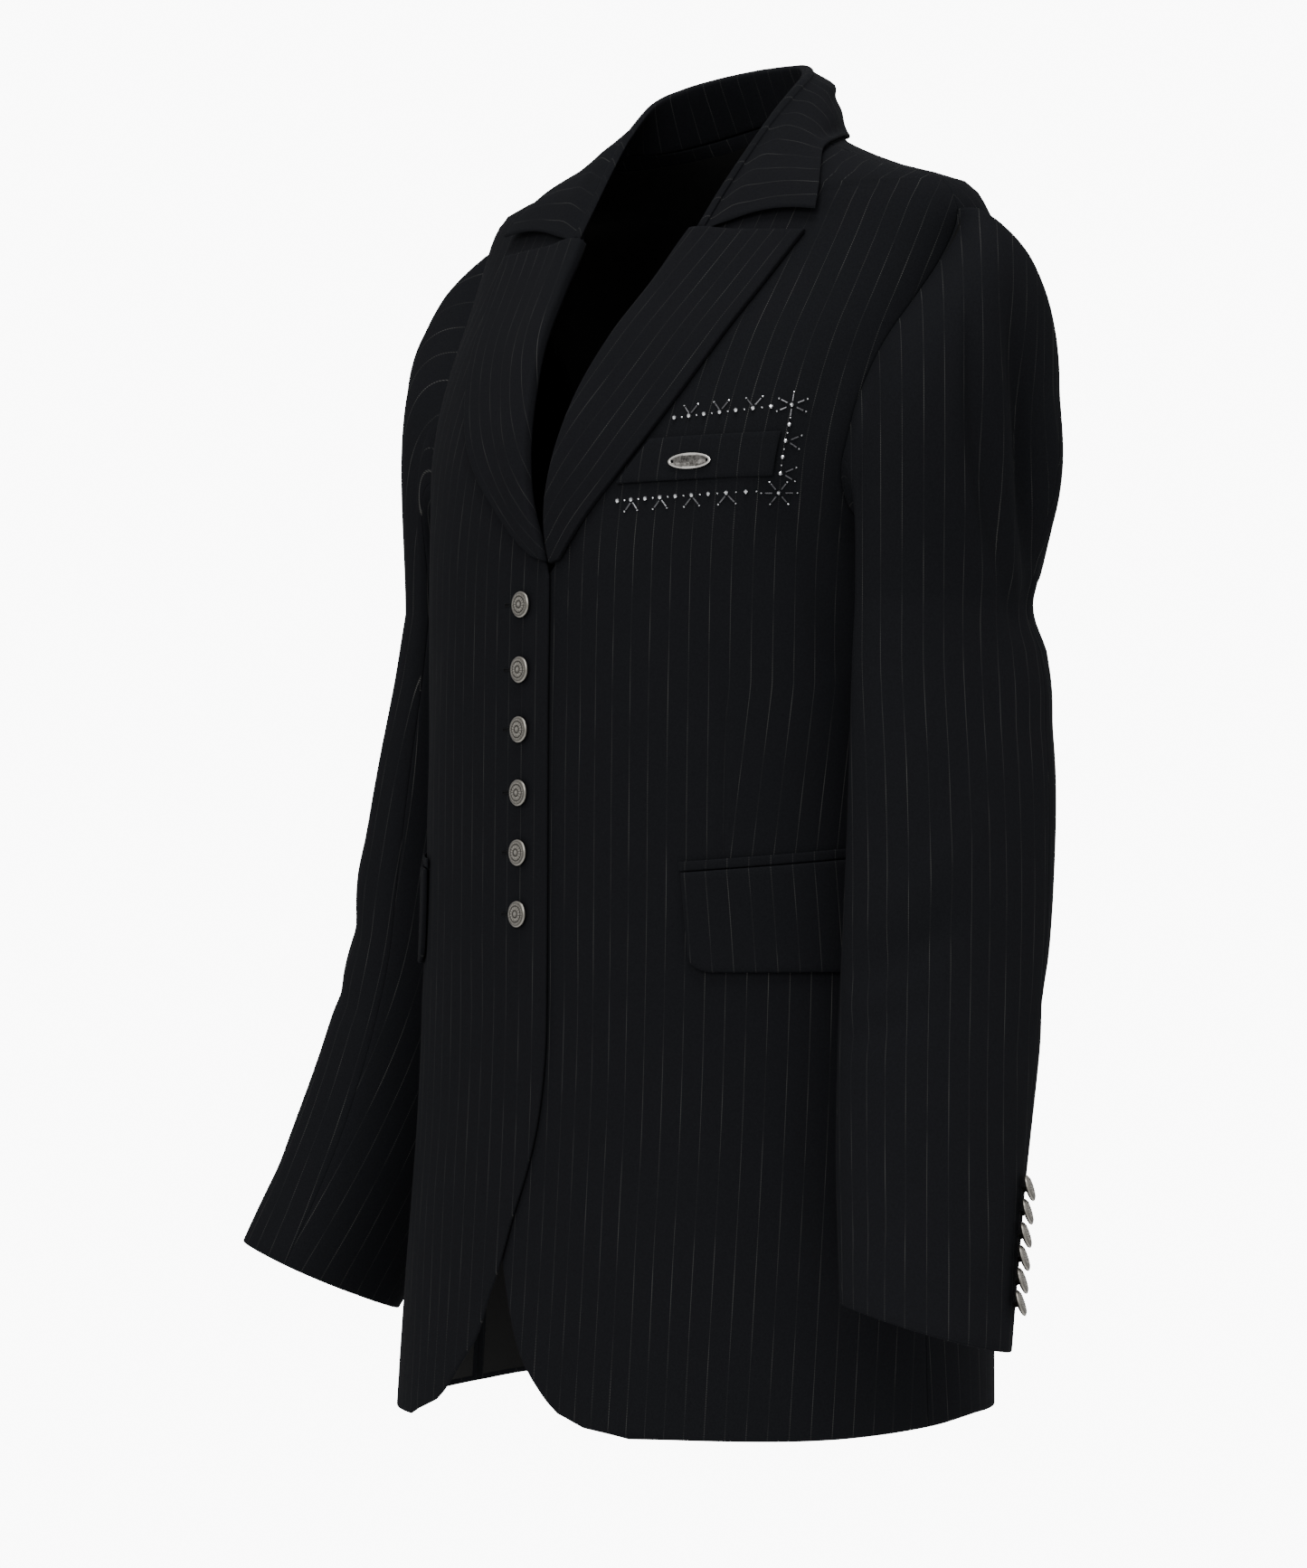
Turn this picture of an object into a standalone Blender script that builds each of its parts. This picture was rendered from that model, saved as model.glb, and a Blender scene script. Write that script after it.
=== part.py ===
# Long tailored wool jacket with peaked lapels, laid out as the pieces that are cut and sewn.
# The garment is hollow and as worn: front towards -Y, the wearer's left towards +X, shoulders at z = 0.
# Lengths in the tables are centimetres and angles are degrees; the meshes are built in metres.
import math

import bpy
import numpy as np

CM = 0.01
WALL_BODY = 0.20
WALL_SLEEVE = 0.18
WALL_COLLAR = 0.26
WALL_LAPEL = 0.28
SEAM_GAP = 0.03
SLEEVE_GAP = 0.05
LAY_GAP = 0.035
UNDERLAP = 0.26
BUTTON_RADIUS = 0.75
BUTTON_THICK = 0.34
SHANK_RADIUS = 0.15
CUFF_SHANK = 0.23

# Body rings: height, half width, front depth, back depth, y of the side seam, fullness of the corners.
BODY_RINGS = (
    (2.6, 6.8, 2.4, 6.0, 0.0, 2.00),
    (1.2, 7.1, 2.7, 6.7, 0.0, 2.00),
    (0.3, 7.8, 3.0, 7.1, 0.0, 2.00),
    (-0.6, 10.2, 3.4, 7.5, 0.1, 2.00),
    (-1.8, 14.2, 4.0, 8.1, 0.2, 2.00),
    (-2.8, 18.5, 4.6, 8.7, 0.3, 2.05),
    (-4.0, 19.8, 5.3, 9.3, 0.4, 2.10),
    (-5.5, 20.2, 6.2, 10.0, 0.5, 2.15),
    (-8.6, 20.2, 8.4, 11.0, 0.5, 2.20),
    (-11.7, 20.1, 10.6, 11.8, 0.4, 2.20),
    (-14.8, 20.0, 12.2, 12.3, 0.2, 2.20),
    (-17.9, 19.6, 13.4, 12.6, 0.0, 2.20),
    (-21.0, 18.9, 14.1, 12.7, -0.2, 2.20),
    (-24.2, 18.2, 14.5, 12.6, -0.5, 2.25),
    (-30.0, 17.8, 14.7, 12.4, -0.9, 2.30),
    (-37.0, 17.7, 14.8, 12.3, -1.2, 2.30),
    (-45.0, 18.0, 14.9, 12.3, -1.3, 2.25),
    (-55.0, 19.0, 15.1, 12.4, -1.5, 2.20),
    (-65.0, 19.8, 15.7, 12.2, -1.8, 2.15),
    (-75.0, 20.4, 16.5, 12.0, -2.0, 2.10),
)

# Hem: angle round the body from the front centre, height of the lower edge.
HEM_LINE = ((0, -73.5), (40, -73.5), (65, -73.4), (90, -72.9), (110, -72.4), (180, -72.3))
HEM_FRONT = -73.5
HEM_REACH = 13.5

# Armhole: height, angle of the front panel's edge, angle of the back panel's edge.
ARMHOLE = (
    (-4.75, 90.0, 90.0),
    (-5.8, 87.5, 92.5),
    (-7.2, 82.5, 96.5),
    (-9.5, 74.5, 103.0),
    (-12.4, 67.5, 109.0),
    (-16.0, 64.0, 112.5),
    (-19.0, 64.0, 112.5),
    (-21.2, 67.0, 109.5),
    (-22.6, 73.0, 104.0),
    (-23.3, 80.5, 98.0),
    (-23.6, 90.0, 90.0),
)
ARMHOLE_TOP = -4.75
ARMHOLE_FOOT = -23.6

# Front edges: height, distance of the edge from the centre plane, towards the panel's own side.
EDGE_LEFT = (
    (-73.6, 11.0),
    (-73.4, 8.4),
    (-73.0, 6.2),
    (-72.3, 4.4),
    (-71.1, 2.7),
    (-69.4, 1.1),
    (-67.0, -0.1),
    (-63.0, -1.3),
    (-59.0, -1.9),
    (-50.0, -2.2),
    (-29.0, -2.2),
    (-27.0, -1.2),
    (-25.6, 1.2),
    (-24.6, 2.3),
    (-23.5, 2.1),
    (-21.0, 1.95),
    (-17.9, 2.15),
    (-14.8, 2.6),
    (-11.7, 3.5),
    (-8.6, 4.5),
    (-5.5, 5.2),
    (-4.6, 6.0),
    (-3.4, 6.8),
    (-2.2, 7.4),
    (-1.2, 7.75),
    (-0.5, 7.85),
    (0.3, 8.4),
)
EDGE_RIGHT = (
    (-73.6, 11.0),
    (-73.2, 9.9),
    (-72.6, 7.4),
    (-71.6, 5.8),
    (-70.0, 4.2),
    (-68.5, 2.8),
    (-66.4, 1.9),
    (-64.4, 1.0),
    (-61.8, 0.1),
    (-58.7, -1.1),
    (-55.5, -1.9),
    (-51.0, -2.3),
    (-35.0, -2.2),
    (-25.4, -2.1),
    (-24.2, -1.7),
    (-21.0, 0.1),
    (-17.9, 1.25),
    (-14.8, 2.3),
    (-11.7, 3.4),
    (-8.6, 4.4),
    (-5.5, 5.2),
    (-4.6, 6.0),
    (-3.4, 6.8),
    (-2.2, 7.4),
    (-1.2, 7.75),
    (-0.5, 7.85),
    (0.3, 8.4),
)

# Heights of the rows of points in a body panel.
PANEL_ROWS = (
    -73.5, -73.1, -72.4, -71.2, -69.4, -67.0, -63.8, -59.5, -54.0, -47.5, -41.0, -35.0, -29.5,
    -26.4, -24.6, -23.6, -23.3, -22.6, -21.2, -19.0, -16.6, -14.2, -11.8, -9.5, -7.5, -5.9,
    -4.75, -3.6, -2.4, -1.2, -0.5, 0.2,
)
NECK_LIFT = 1.9

# Lapels: height on the roll line, distance of the outer edge from the centre plane, its height.
LAPEL_LEFT = (
    (-24.45, 2.95, -24.3),
    (-23.4, 3.9, -23.2),
    (-21.8, 5.3, -21.4),
    (-19.6, 6.9, -19.5),
    (-17.2, 8.3, -17.6),
    (-14.8, 9.6, -15.4),
    (-12.6, 10.7, -13.1),
    (-10.4, 11.6, -10.8),
    (-8.2, 12.4, -8.6),
    (-6.6, 13.0, -6.9),
    (-5.5, 13.4, -5.9),
)
LAPEL_RIGHT = (
    (-24.35, -0.9, -24.1),
    (-23.4, 0.6, -23.2),
    (-21.8, 3.0, -21.4),
    (-19.6, 5.4, -19.5),
    (-17.2, 7.4, -17.6),
    (-14.8, 9.1, -15.4),
    (-12.6, 10.5, -13.1),
    (-10.4, 11.6, -10.8),
    (-8.2, 12.4, -8.6),
    (-6.6, 13.0, -6.9),
    (-5.5, 13.4, -5.9),
)
LAPEL_COLUMNS = 9
LAPEL_ROLL = 0.42
LAPEL_GAP = 0.06
FLAP_GAP = 0.09
FLAP_TOP = -41.95
FLAP_RISE = 1.2
FLAP_LEAN = 1.2

# Collar, from the centre back to its front end: place on the neck seam (an angle round the back, or
# a height on the front edge), then x, y, z of the fold and x, y, z of the outer edge.
COLLAR_ROWS = (
    (180.0, 0.0, 4.8, 5.1, 0.0, 7.5, 0.9),
    (160.0, 1.9, 4.4, 5.0, 2.8, 6.9, 0.7),
    (140.0, 3.7, 3.2, 4.6, 5.2, 5.3, 0.3),
    (120.0, 5.2, 1.8, 4.0, 7.2, 3.2, -0.1),
    (100.0, 6.1, 0.1, 3.0, 9.0, 1.1, -0.5),
    (-1.2, 6.0, -2.0, 0.8, 11.0, -1.5, -1.4),
    (-2.4, 5.75, -3.3, -0.9, 12.2, -2.65, -2.25),
    (-3.6, 5.45, -4.7, -2.85, 13.3, -3.8, -3.3),
    (-4.75, 5.25, -6.0, -4.75, 13.9, -4.7, -4.3),
    (-5.05, 5.22, -6.24, -5.06, 13.95, -4.79, -4.4),
)
COLLAR_GAP = 0.12

# Sleeve rings: height, centre x, centre y, outer and inner reach, front and back reach,
# slope of the ring towards the outside, slope towards the back.
SLEEVE_RINGS = (
    (-26.8, 19.8, -0.2, 4.1, 1.3, 6.6, 6.2, 0.00, 0.00),
    (-30.5, 20.2, -0.6, 4.2, 1.9, 6.6, 6.6, 0.00, 0.00),
    (-36.6, 21.0, -1.1, 4.6, 2.6, 6.8, 6.8, 0.02, -0.02),
    (-42.8, 21.6, -1.9, 5.0, 3.1, 6.6, 6.6, 0.06, -0.06),
    (-48.0, 22.0, -2.7, 5.2, 3.4, 6.3, 6.3, 0.10, -0.10),
    (-53.0, 22.8, -3.9, 5.3, 3.6, 5.9, 5.9, 0.16, -0.16),
    (-58.5, 24.2, -5.6, 5.2, 3.9, 5.3, 5.3, 0.22, -0.23),
    (-63.0, 25.8, -7.1, 4.8, 4.1, 4.9, 4.9, 0.26, -0.29),
    (-66.6, 27.2, -8.4, 4.5, 4.2, 4.6, 4.6, 0.28, -0.33),
)
# The left cuff hangs lower at its outer back: slopes at its hem, and the height where they begin.
LEFT_CUFF = (-0.19, -0.21, -50.0)
SLEEVE_CAP_ROWS = 9
SLEEVE_RING_ROWS = 12

# Sleeve seams on the armhole: heights of the armhole's points that each piece meets, from its front
# seam round to its back seam; a sign of -1 marks the back of the armhole. Then the angle at the cuff.
TOP_POINTS = (
    (-19.0, 1, 1), (-16.6, 1, 1), (-14.2, 1, 1), (-11.8, 1, 2), (-9.5, 1, 2), (-7.5, 1, 2), (-5.9, 1, 2),
    (-4.75, 1, 2), (-5.9, -1, 2), (-7.5, -1, 1),
)
UNDER_POINTS = (
    (-7.5, -1, 1), (-9.5, -1, 1), (-11.8, -1, 1), (-14.2, -1, 1), (-16.6, -1, 1), (-19.0, -1, 1),
    (-21.2, -1, 1), (-22.6, -1, 1), (-23.3, -1, 1), (-23.6, -1, 1), (-23.3, 1, 1), (-22.6, 1, 1),
    (-21.2, 1, 1), (-19.0, 1, 1),
)
CUFF_SEAM_FRONT = 118.0
CUFF_SEAM_BACK = -36.0

# Sleeve folds: height at the middle, angle round the sleeve, half length, half width in degrees,
# drift of the angle per centimetre, depth (outwards is positive).
SLEEVE_FOLDS = (
    (-18.0, 6.0, 11.0, 9.0, 2.2, 0.50),
    (-18.5, -13.0, 10.0, 10.0, 2.2, -1.05),
    (-19.8, -42.0, 5.4, 20.0, 0.5, 0.60),
    (-27.4, -45.0, 2.2, 40.0, 0.0, -0.55),
    (-31.5, -35.0, 2.6, 40.0, 0.0, 0.20),
)


def smooth_rows(table, key):
    rows = sorted(table)
    if key <= rows[0][0]:
        return rows[0][1:]
    if key >= rows[-1][0]:
        return rows[-1][1:]
    at = max(i for i in range(len(rows) - 1) if rows[i][0] <= key)
    a, b = rows[at], rows[at + 1]
    before = rows[max(at - 1, 0)]
    after = rows[min(at + 2, len(rows) - 1)]
    span = b[0] - a[0]
    f = (key - a[0]) / span
    values = []
    for j in range(1, len(a)):
        chord = (b[j] - a[j]) / span
        left = chord if at == 0 else (b[j] - before[j]) / (b[0] - before[0])
        right = chord if at + 2 >= len(rows) else (after[j] - a[j]) / (after[0] - a[0])
        left = limited(left, chord)
        right = limited(right, chord)
        values.append(
            (2 * f**3 - 3 * f**2 + 1) * a[j]
            + (f**3 - 2 * f**2 + f) * span * left
            + (3 * f**2 - 2 * f**3) * b[j]
            + (f**3 - f**2) * span * right
        )
    return tuple(values)


def limited(slope, chord):
    # Keeps a curve through the rows of a table from overshooting between two rows.
    if slope * chord <= 0:
        return 0.0
    return math.copysign(min(abs(slope), 3 * abs(chord)), chord)


def ease(low, high, value):
    f = min(max((value - low) / (high - low), 0.0), 1.0)
    return f * f * (3 - 2 * f)


def unit(vector):
    return vector / np.linalg.norm(vector)


def body_at(angle, z):
    # Point of the body's outer surface on the wearer's left half, at an angle from the front centre.
    width, front, back, side_y, full = smooth_rows(BODY_RINGS, z)
    s = math.sin(math.radians(angle))
    c = math.cos(math.radians(angle))
    k = (abs(s) ** full + abs(c) ** full) ** (-1 / full)
    depth = front + side_y if c > 0 else back - side_y
    return np.array((width * k * s, side_y - depth * k * c, z))


def body_normal(angle, z):
    along = body_at(angle + 0.5, z) - body_at(angle - 0.5, z)
    up = body_at(angle, z + 0.1) - body_at(angle, z - 0.1)
    return unit(np.cross(along, up))


def angle_at_x(x, z):
    low, high = -60.0, 90.0
    for _ in range(40):
        middle = (low + high) / 2
        if body_at(middle, z)[0] < x:
            low = middle
        else:
            high = middle
    return (low + high) / 2


def sink_left(angle, z):
    # The left front runs under the right one, so it lies deeper near the centre.
    x = body_at(angle, z)[0]
    return -UNDERLAP * (1 - ease(2.5, 5.5, x)) * (1 - ease(-24.6, -20.5, z))


def sink_right(angle, z):
    return 0.0


def lifted(angle, z, rise, sink=sink_right):
    return body_at(angle, z) + body_normal(angle, z) * (rise + sink(angle, z))


def row_height(row, angle, lift=0.0):
    hem = smooth_rows(HEM_LINE, abs(angle))[0] - HEM_FRONT
    down = min(max((HEM_FRONT + HEM_REACH - row) / HEM_REACH, 0.0), 1.0)
    up = ease(-6.0, 0.3, row) * ease(90.0, 180.0, angle)
    return row + hem * down * down + lift * up


def armhole_angles(z):
    if z > ARMHOLE_TOP or z < ARMHOLE_FOOT:
        return 90.0, 90.0
    return smooth_rows(ARMHOLE, z)


def gap_angle(z, gap):
    return math.degrees(gap / max(smooth_rows(BODY_RINGS, z)[1], 2.0))


def new_object(name, points, faces, material):
    mesh = bpy.data.meshes.new(name)
    mesh.from_pydata([tuple(p * CM) for p in points], [], faces)
    mesh.materials.append(material)
    mesh.shade_smooth()
    mesh.set_sharp_from_angle(angle=math.radians(50))
    mesh.update()
    piece = bpy.data.objects.new(name, mesh)
    bpy.context.scene.collection.children["wool_jacket"].objects.link(piece)
    return piece


def wall_solid(name, outer, inner, material):
    # Closed wall between two grids of points, with its outer grid counter-clockwise from outside.
    outer = np.asarray(outer)
    inner = np.asarray(inner)
    rows, columns = outer.shape[:2]
    count = rows * columns
    points = np.concatenate((outer.reshape(-1, 3), inner.reshape(-1, 3)))
    faces = []
    for i in range(rows - 1):
        for j in range(columns - 1):
            a = i * columns + j
            faces.append((a, a + 1, a + columns + 1, a + columns))
            b = a + count
            faces.append((b, b + columns, b + columns + 1, b + 1))
    rim = [i * columns for i in range(rows - 1, 0, -1)]
    rim += list(range(columns - 1))
    rim += [i * columns + columns - 1 for i in range(rows - 1)]
    rim += [(rows - 1) * columns + j for j in range(columns - 1, 0, -1)]
    for at, a in enumerate(rim):
        b = rim[(at + 1) % len(rim)]
        faces.append((b, a, a + count, b + count))
    return new_object(name, points, faces, material)


def mirrored(grid, side):
    # The right half is the left one mirrored, with its columns turned so that faces still point out.
    grid = np.asarray(grid)
    if side > 0:
        return grid
    return (grid * np.array((-1.0, 1.0, 1.0)))[:, ::-1]


def cloth(name, colour, roughness=0.9, metallic=0.0):
    material = bpy.data.materials.new(name)
    material.use_nodes = True
    shader = material.node_tree.nodes["Principled BSDF"]
    shader.inputs["Base Color"].default_value = (*colour, 1.0)
    shader.inputs["Roughness"].default_value = roughness
    shader.inputs["Metallic"].default_value = metallic
    return material


def wool(name):
    return cloth(name + "_wool", (0.012, 0.012, 0.014))


def panel_grid(spans, columns, sink, lift=0.0):
    # Grids of a body panel from rows of (height, first angle, last angle).
    outer = []
    inner = []
    for row, first, last in spans:
        angles = np.linspace(first, last, columns)
        heights = [row_height(row, a, lift) for a in angles]
        outer.append([lifted(a, z, 0.0, sink) for a, z in zip(angles, heights)])
        inner.append([lifted(a, z, -WALL_BODY, sink) for a, z in zip(angles, heights)])
    return outer, inner


def front_spans(edge):
    spans = []
    for z in PANEL_ROWS:
        first = angle_at_x(smooth_rows(edge, z)[0], z)
        last = armhole_angles(z)[0] - gap_angle(z, SEAM_GAP / 2)
        spans.append((z, min(first, last - 1.0), last))
    return spans


def back_spans():
    spans = []
    for z in PANEL_ROWS:
        first = armhole_angles(z)[1] + gap_angle(z, SEAM_GAP / 2)
        spans.append((z, first, 180.0 - gap_angle(z, SEAM_GAP / 2)))
    return spans


def make_body():
    for side, word, edge, sink in ((1, "left", EDGE_LEFT, sink_left), (-1, "right", EDGE_RIGHT, sink_right)):
        name = "front_" + word
        outer, inner = panel_grid(front_spans(edge), 13, sink)
        wall_solid(name, mirrored(outer, side), mirrored(inner, side), wool(name))
        name = "back_" + word
        outer, inner = panel_grid(back_spans(), 11, sink_right, NECK_LIFT)
        wall_solid(name, mirrored(outer, side), mirrored(inner, side), wool(name))


def lapel_section(edge, sink, roll_z, edge_x, edge_z):
    # One row across a lapel: it wraps the panel's edge at the roll line and lies on the panel.
    roll_x = smooth_rows(edge, roll_z)[0]
    width = math.hypot(edge_x - roll_x, edge_z - roll_z)
    outer = []
    inner = []
    roll_angle = angle_at_x(roll_x, roll_z)
    roll_normal = body_normal(roll_angle, roll_z)
    roll = body_at(roll_angle, roll_z) + roll_normal * sink(roll_angle, roll_z)
    edge_angle = angle_at_x(edge_x, edge_z)
    across = body_at(edge_angle, edge_z) - roll
    across = unit(across - roll_normal * np.dot(across, roll_normal))
    wrap = min(LAPEL_ROLL, 0.12 + width * 0.12)
    near = 0.07
    outer.append(roll - across * wrap * 0.75 - roll_normal * WALL_BODY)
    inner.append(roll - across * near - roll_normal * WALL_BODY)
    outer.append(roll - across * wrap + roll_normal * 0.10)
    inner.append(roll - across * near - roll_normal * 0.02)
    for j in range(LAPEL_COLUMNS):
        f = j / (LAPEL_COLUMNS - 1)
        x = roll_x + (edge_x - roll_x) * f
        z = roll_z + (edge_z - roll_z) * f
        angle = angle_at_x(x, z)
        swell = 0.30 * math.exp(-((f * width - 0.9) / 1.3) ** 2) * min(width / 5, 1.0)
        low = LAPEL_GAP + swell
        top = low + WALL_LAPEL
        outer_shift = -across * wrap * 0.55 if j == 0 else 0.0
        outer.append(lifted(angle, z, top, sink) + outer_shift)
        inner.append(lifted(angle, z, low, sink))
    return outer, inner


def make_lapels():
    sides = ((1, "left", EDGE_LEFT, LAPEL_LEFT, sink_left), (-1, "right", EDGE_RIGHT, LAPEL_RIGHT, sink_right))
    for side, word, edge, table, sink in sides:
        outer = []
        inner = []
        for roll_z, edge_x, edge_z in lapel_rows(table, 16):
            row = lapel_section(edge, sink, roll_z, edge_x, edge_z)
            outer.append(row[0])
            inner.append(row[1])
        name = "lapel_" + word
        wall_solid(name, mirrored(outer, side), mirrored(inner, side), wool(name))


def lapel_rows(table, count):
    # Rows between the table's, evenly along the roll line.
    keyed = tuple((z, x, e) for z, x, e in table)
    heights = np.linspace(table[0][0], table[-1][0], count)
    return [(z, *smooth_rows(keyed, z)) for z in heights]


def implicit(p):
    # Below 1 inside the body's outer surface, above 1 outside it.
    width, front, back, side_y, full = smooth_rows(BODY_RINGS, p[2])
    depth = front + side_y if p[1] < side_y else back - side_y
    return (abs(p[0]) / width) ** full + (abs(p[1] - side_y) / depth) ** full


def pushed_out(p, distance):
    # Moves a point off the body's surface until it stands the distance away.
    for _ in range(6):
        step = 0.02
        gradient = np.array([(implicit(p + e) - implicit(p - e)) / (2 * step) for e in np.eye(3) * step])
        away = (implicit(p) - 1) / max(np.linalg.norm(gradient), 1e-6)
        if away >= distance:
            return p
        p = p + unit(gradient) * (distance - away)
    return p


def neck_edge(place):
    # Point and normal on the neck seam: place is an angle round the back or a height on the front edge.
    if place > 89:
        z = row_height(0.2, place, NECK_LIFT)
        return body_at(place, z), body_normal(place, z)
    angle = angle_at_x(smooth_rows(EDGE_LEFT, place)[0], place)
    return body_at(angle, place), body_normal(angle, place)


def neck_point(place):
    # Foot of the collar stand, just off the panels' neck edge: its neck side and its cloth side.
    point, normal = neck_edge(place)
    step = 2.0 if place > 89 else 0.2
    low = max(place - step, 90.0) if place > 89 else place - step
    high = min(place + step, 180.0) if place > 89 else place + step
    along = neck_edge(high)[0] - neck_edge(low)[0]
    if place > 179:
        along = np.array((-1.0, 0.0, 0.0))
    away = unit(np.cross(normal, unit(along)))
    if (place > 89 and away[2] < 0) or (place < 89 and away[0] > 0):
        away = -away
    return point - normal * 0.21 + away * 0.07, point + normal * 0.05 + away * 0.07


def collar_section(row):
    fold = np.array(row[1:4])
    edge = np.array(row[4:7])
    foot_in, foot_out = neck_point(row[0])
    out = unit(np.array((edge[0] - fold[0], edge[1] - fold[1], 0.0)))
    up = np.array((0.0, 0.0, 1.0))
    radius = 0.38
    outer = [foot_in]
    inner = [foot_out]
    stand = fold - up * radius
    outer.append(foot_in * 0.5 + stand * 0.5)
    inner.append(foot_out * 0.5 + (stand + out * WALL_COLLAR) * 0.5)
    for turn in (0, 45, 90, 135, 170):
        a = math.radians(turn)
        centre = fold + out * radius - up * radius
        spoke = -out * math.cos(a) + up * math.sin(a)
        outer.append(centre + spoke * radius)
        inner.append(centre + spoke * (radius - WALL_COLLAR))
    start = outer[-1]
    start_in = inner[-1]
    drop = edge - start
    lean = unit(np.array((drop[0], drop[1], 0.0)))
    normal = unit(np.cross(np.cross(lean, up), drop))
    if normal[2] < 0:
        normal = -normal
    steps = (0.2, 0.4, 0.6, 0.8, 1.0)
    for f in steps:
        belly = normal * (0.55 * math.sin(math.pi * f) ** 0.9)
        p = pushed_out(start + drop * f + belly, COLLAR_GAP + WALL_COLLAR)
        outer.append(p)
    count = len(steps)
    for at in range(count):
        here = outer[at - count]
        before = outer[at - count - 1]
        after = outer[at - count + 1] if at < count - 1 else here + (here - before)
        direction = unit(after - before)
        side = unit(np.cross(np.cross(lean, up), direction))
        if side[2] < 0 or (abs(side[2]) < 0.2 and np.dot(side, out) < 0):
            side = -side
        inner.append(pushed_out(here - side * WALL_COLLAR, COLLAR_GAP))
    return outer, inner


def make_collar():
    half = [collar_section(row) for row in collar_rows()]
    outer = [section[0] for section in half]
    inner = [section[1] for section in half]
    mirror = np.array((-1.0, 1.0, 1.0))
    outer = [np.asarray(o) * mirror for o in outer[:0:-1]] + [np.asarray(o) for o in outer]
    inner = [np.asarray(i) * mirror for i in inner[:0:-1]] + [np.asarray(i) for i in inner]
    wall_solid("collar", outer[::-1], inner[::-1], wool("collar"))


def collar_rows():
    # Sections of half the collar, with their feet at the ends of the panels' columns and rows.
    keyed = [(i, *row[1:]) for i, row in enumerate(COLLAR_ROWS)]
    places = [(180.0 - 9.0 * i, 0.45 * i) for i in range(10)]
    places += [(90.0, 4.5), (-0.5, 4.75), (-1.2, 5.0), (-2.4, 6.0), (-3.6, 7.0), (-4.75, 8.0), (-5.05, 9.0)]
    return [(place, *smooth_rows(keyed, key)) for place, key in places]


def armhole_point(z, side, shrink):
    # Point and normal of the body on the armhole at one of the panels' rows; the foot and the top move
    # towards the middle of the hole by the gap, the sides by the same amount.
    front, back = armhole_angles(z)
    edge = front if side > 0 else back
    z = min(max(z, ARMHOLE_FOOT + shrink), ARMHOLE_TOP - shrink)
    angle = edge
    if abs(edge - 90) > 0.5:
        angle = edge - math.copysign(gap_angle(z, shrink * 1.3), edge - 90)
    return body_at(angle, z), body_normal(angle, z)


def sleeve_columns(points, first, last):
    # Columns of a sleeve piece: place on the armhole, its angle there and its angle at the cuff.
    columns = []
    middle = (ARMHOLE_TOP + ARMHOLE_FOOT) / 2
    half = (ARMHOLE_TOP - ARMHOLE_FOOT) / 2
    for (z, side, count), (next_z, next_side, _) in zip(points, points[1:]):
        a, normal_a = armhole_point(z, side, SEAM_GAP)
        b, normal_b = armhole_point(next_z, next_side, SEAM_GAP)
        turn_a = side * math.degrees(math.acos(min(max((z - middle) / half, -1.0), 1.0)))
        turn_b = next_side * math.degrees(math.acos(min(max((next_z - middle) / half, -1.0), 1.0)))
        for step in range(count):
            f = step / count
            columns.append((a + (b - a) * f, unit(normal_a + (normal_b - normal_a) * f), turn_a, turn_b, f))
    z, side, _ = points[-1]
    place, normal = armhole_point(z, side, SEAM_GAP)
    turn = side * math.degrees(math.acos(min(max((z - middle) / half, -1.0), 1.0)))
    columns.append((place, normal, turn, turn, 0.0))
    turned = []
    for at, (place, normal, turn_a, turn_b, f) in enumerate(columns):
        if turn_b - turn_a > 180:
            turn_b -= 360
        if turn_a - turn_b > 180:
            turn_b += 360
        turn = turn_a + (turn_b - turn_a) * f
        if turned and turn - turned[-1][2] > 180:
            turn -= 360
        if turned and turned[-1][2] - turn > 180:
            turn += 360
        turned.append((place, normal, turn, at))
    span = len(turned) - 1
    return [(p, n, t, first + (last - first) * at / span) for p, n, t, at in turned]


def sleeve_ring(turn, z, side):
    cx, cy, outer, inner, front, back, slope_x, slope_y = smooth_rows(SLEEVE_RINGS, z)
    if side > 0:
        share = 1 - ease(SLEEVE_RINGS[-1][0], LEFT_CUFF[2], z)
        slope_x += (LEFT_CUFF[0] - slope_x) * share
        slope_y += (LEFT_CUFF[1] - slope_y) * share
    c = math.cos(math.radians(turn))
    s = math.sin(math.radians(turn))
    full = 2.15 if c > 0 else 2.5
    k = (abs(c) ** full + abs(s) ** full) ** (-1 / full)
    dx = (outer if c > 0 else inner) * k * c
    dy = -(front if s > 0 else back) * k * s
    return np.array((cx + dx, cy + dy, z + slope_x * dx + slope_y * dy))


def fold_at(turn, z):
    total = 0.0
    for height, angle, reach, width, drift, depth in SLEEVE_FOLDS:
        along = (z - height) / reach
        if abs(along) >= 1:
            continue
        middle = angle + drift * (z - height)
        off = ((turn - middle + 180) % 360 - 180) / width
        total += depth * (1 - along * along) ** 2 * math.exp(-off * off)
    return total


def sleeve_turn(column, row):
    # Angle round the sleeve of a column, which drifts from its place on the armhole to the cuff's.
    return column[2] + (column[3] - column[2]) * ease(0.0, SLEEVE_CAP_ROWS, row)


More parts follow.
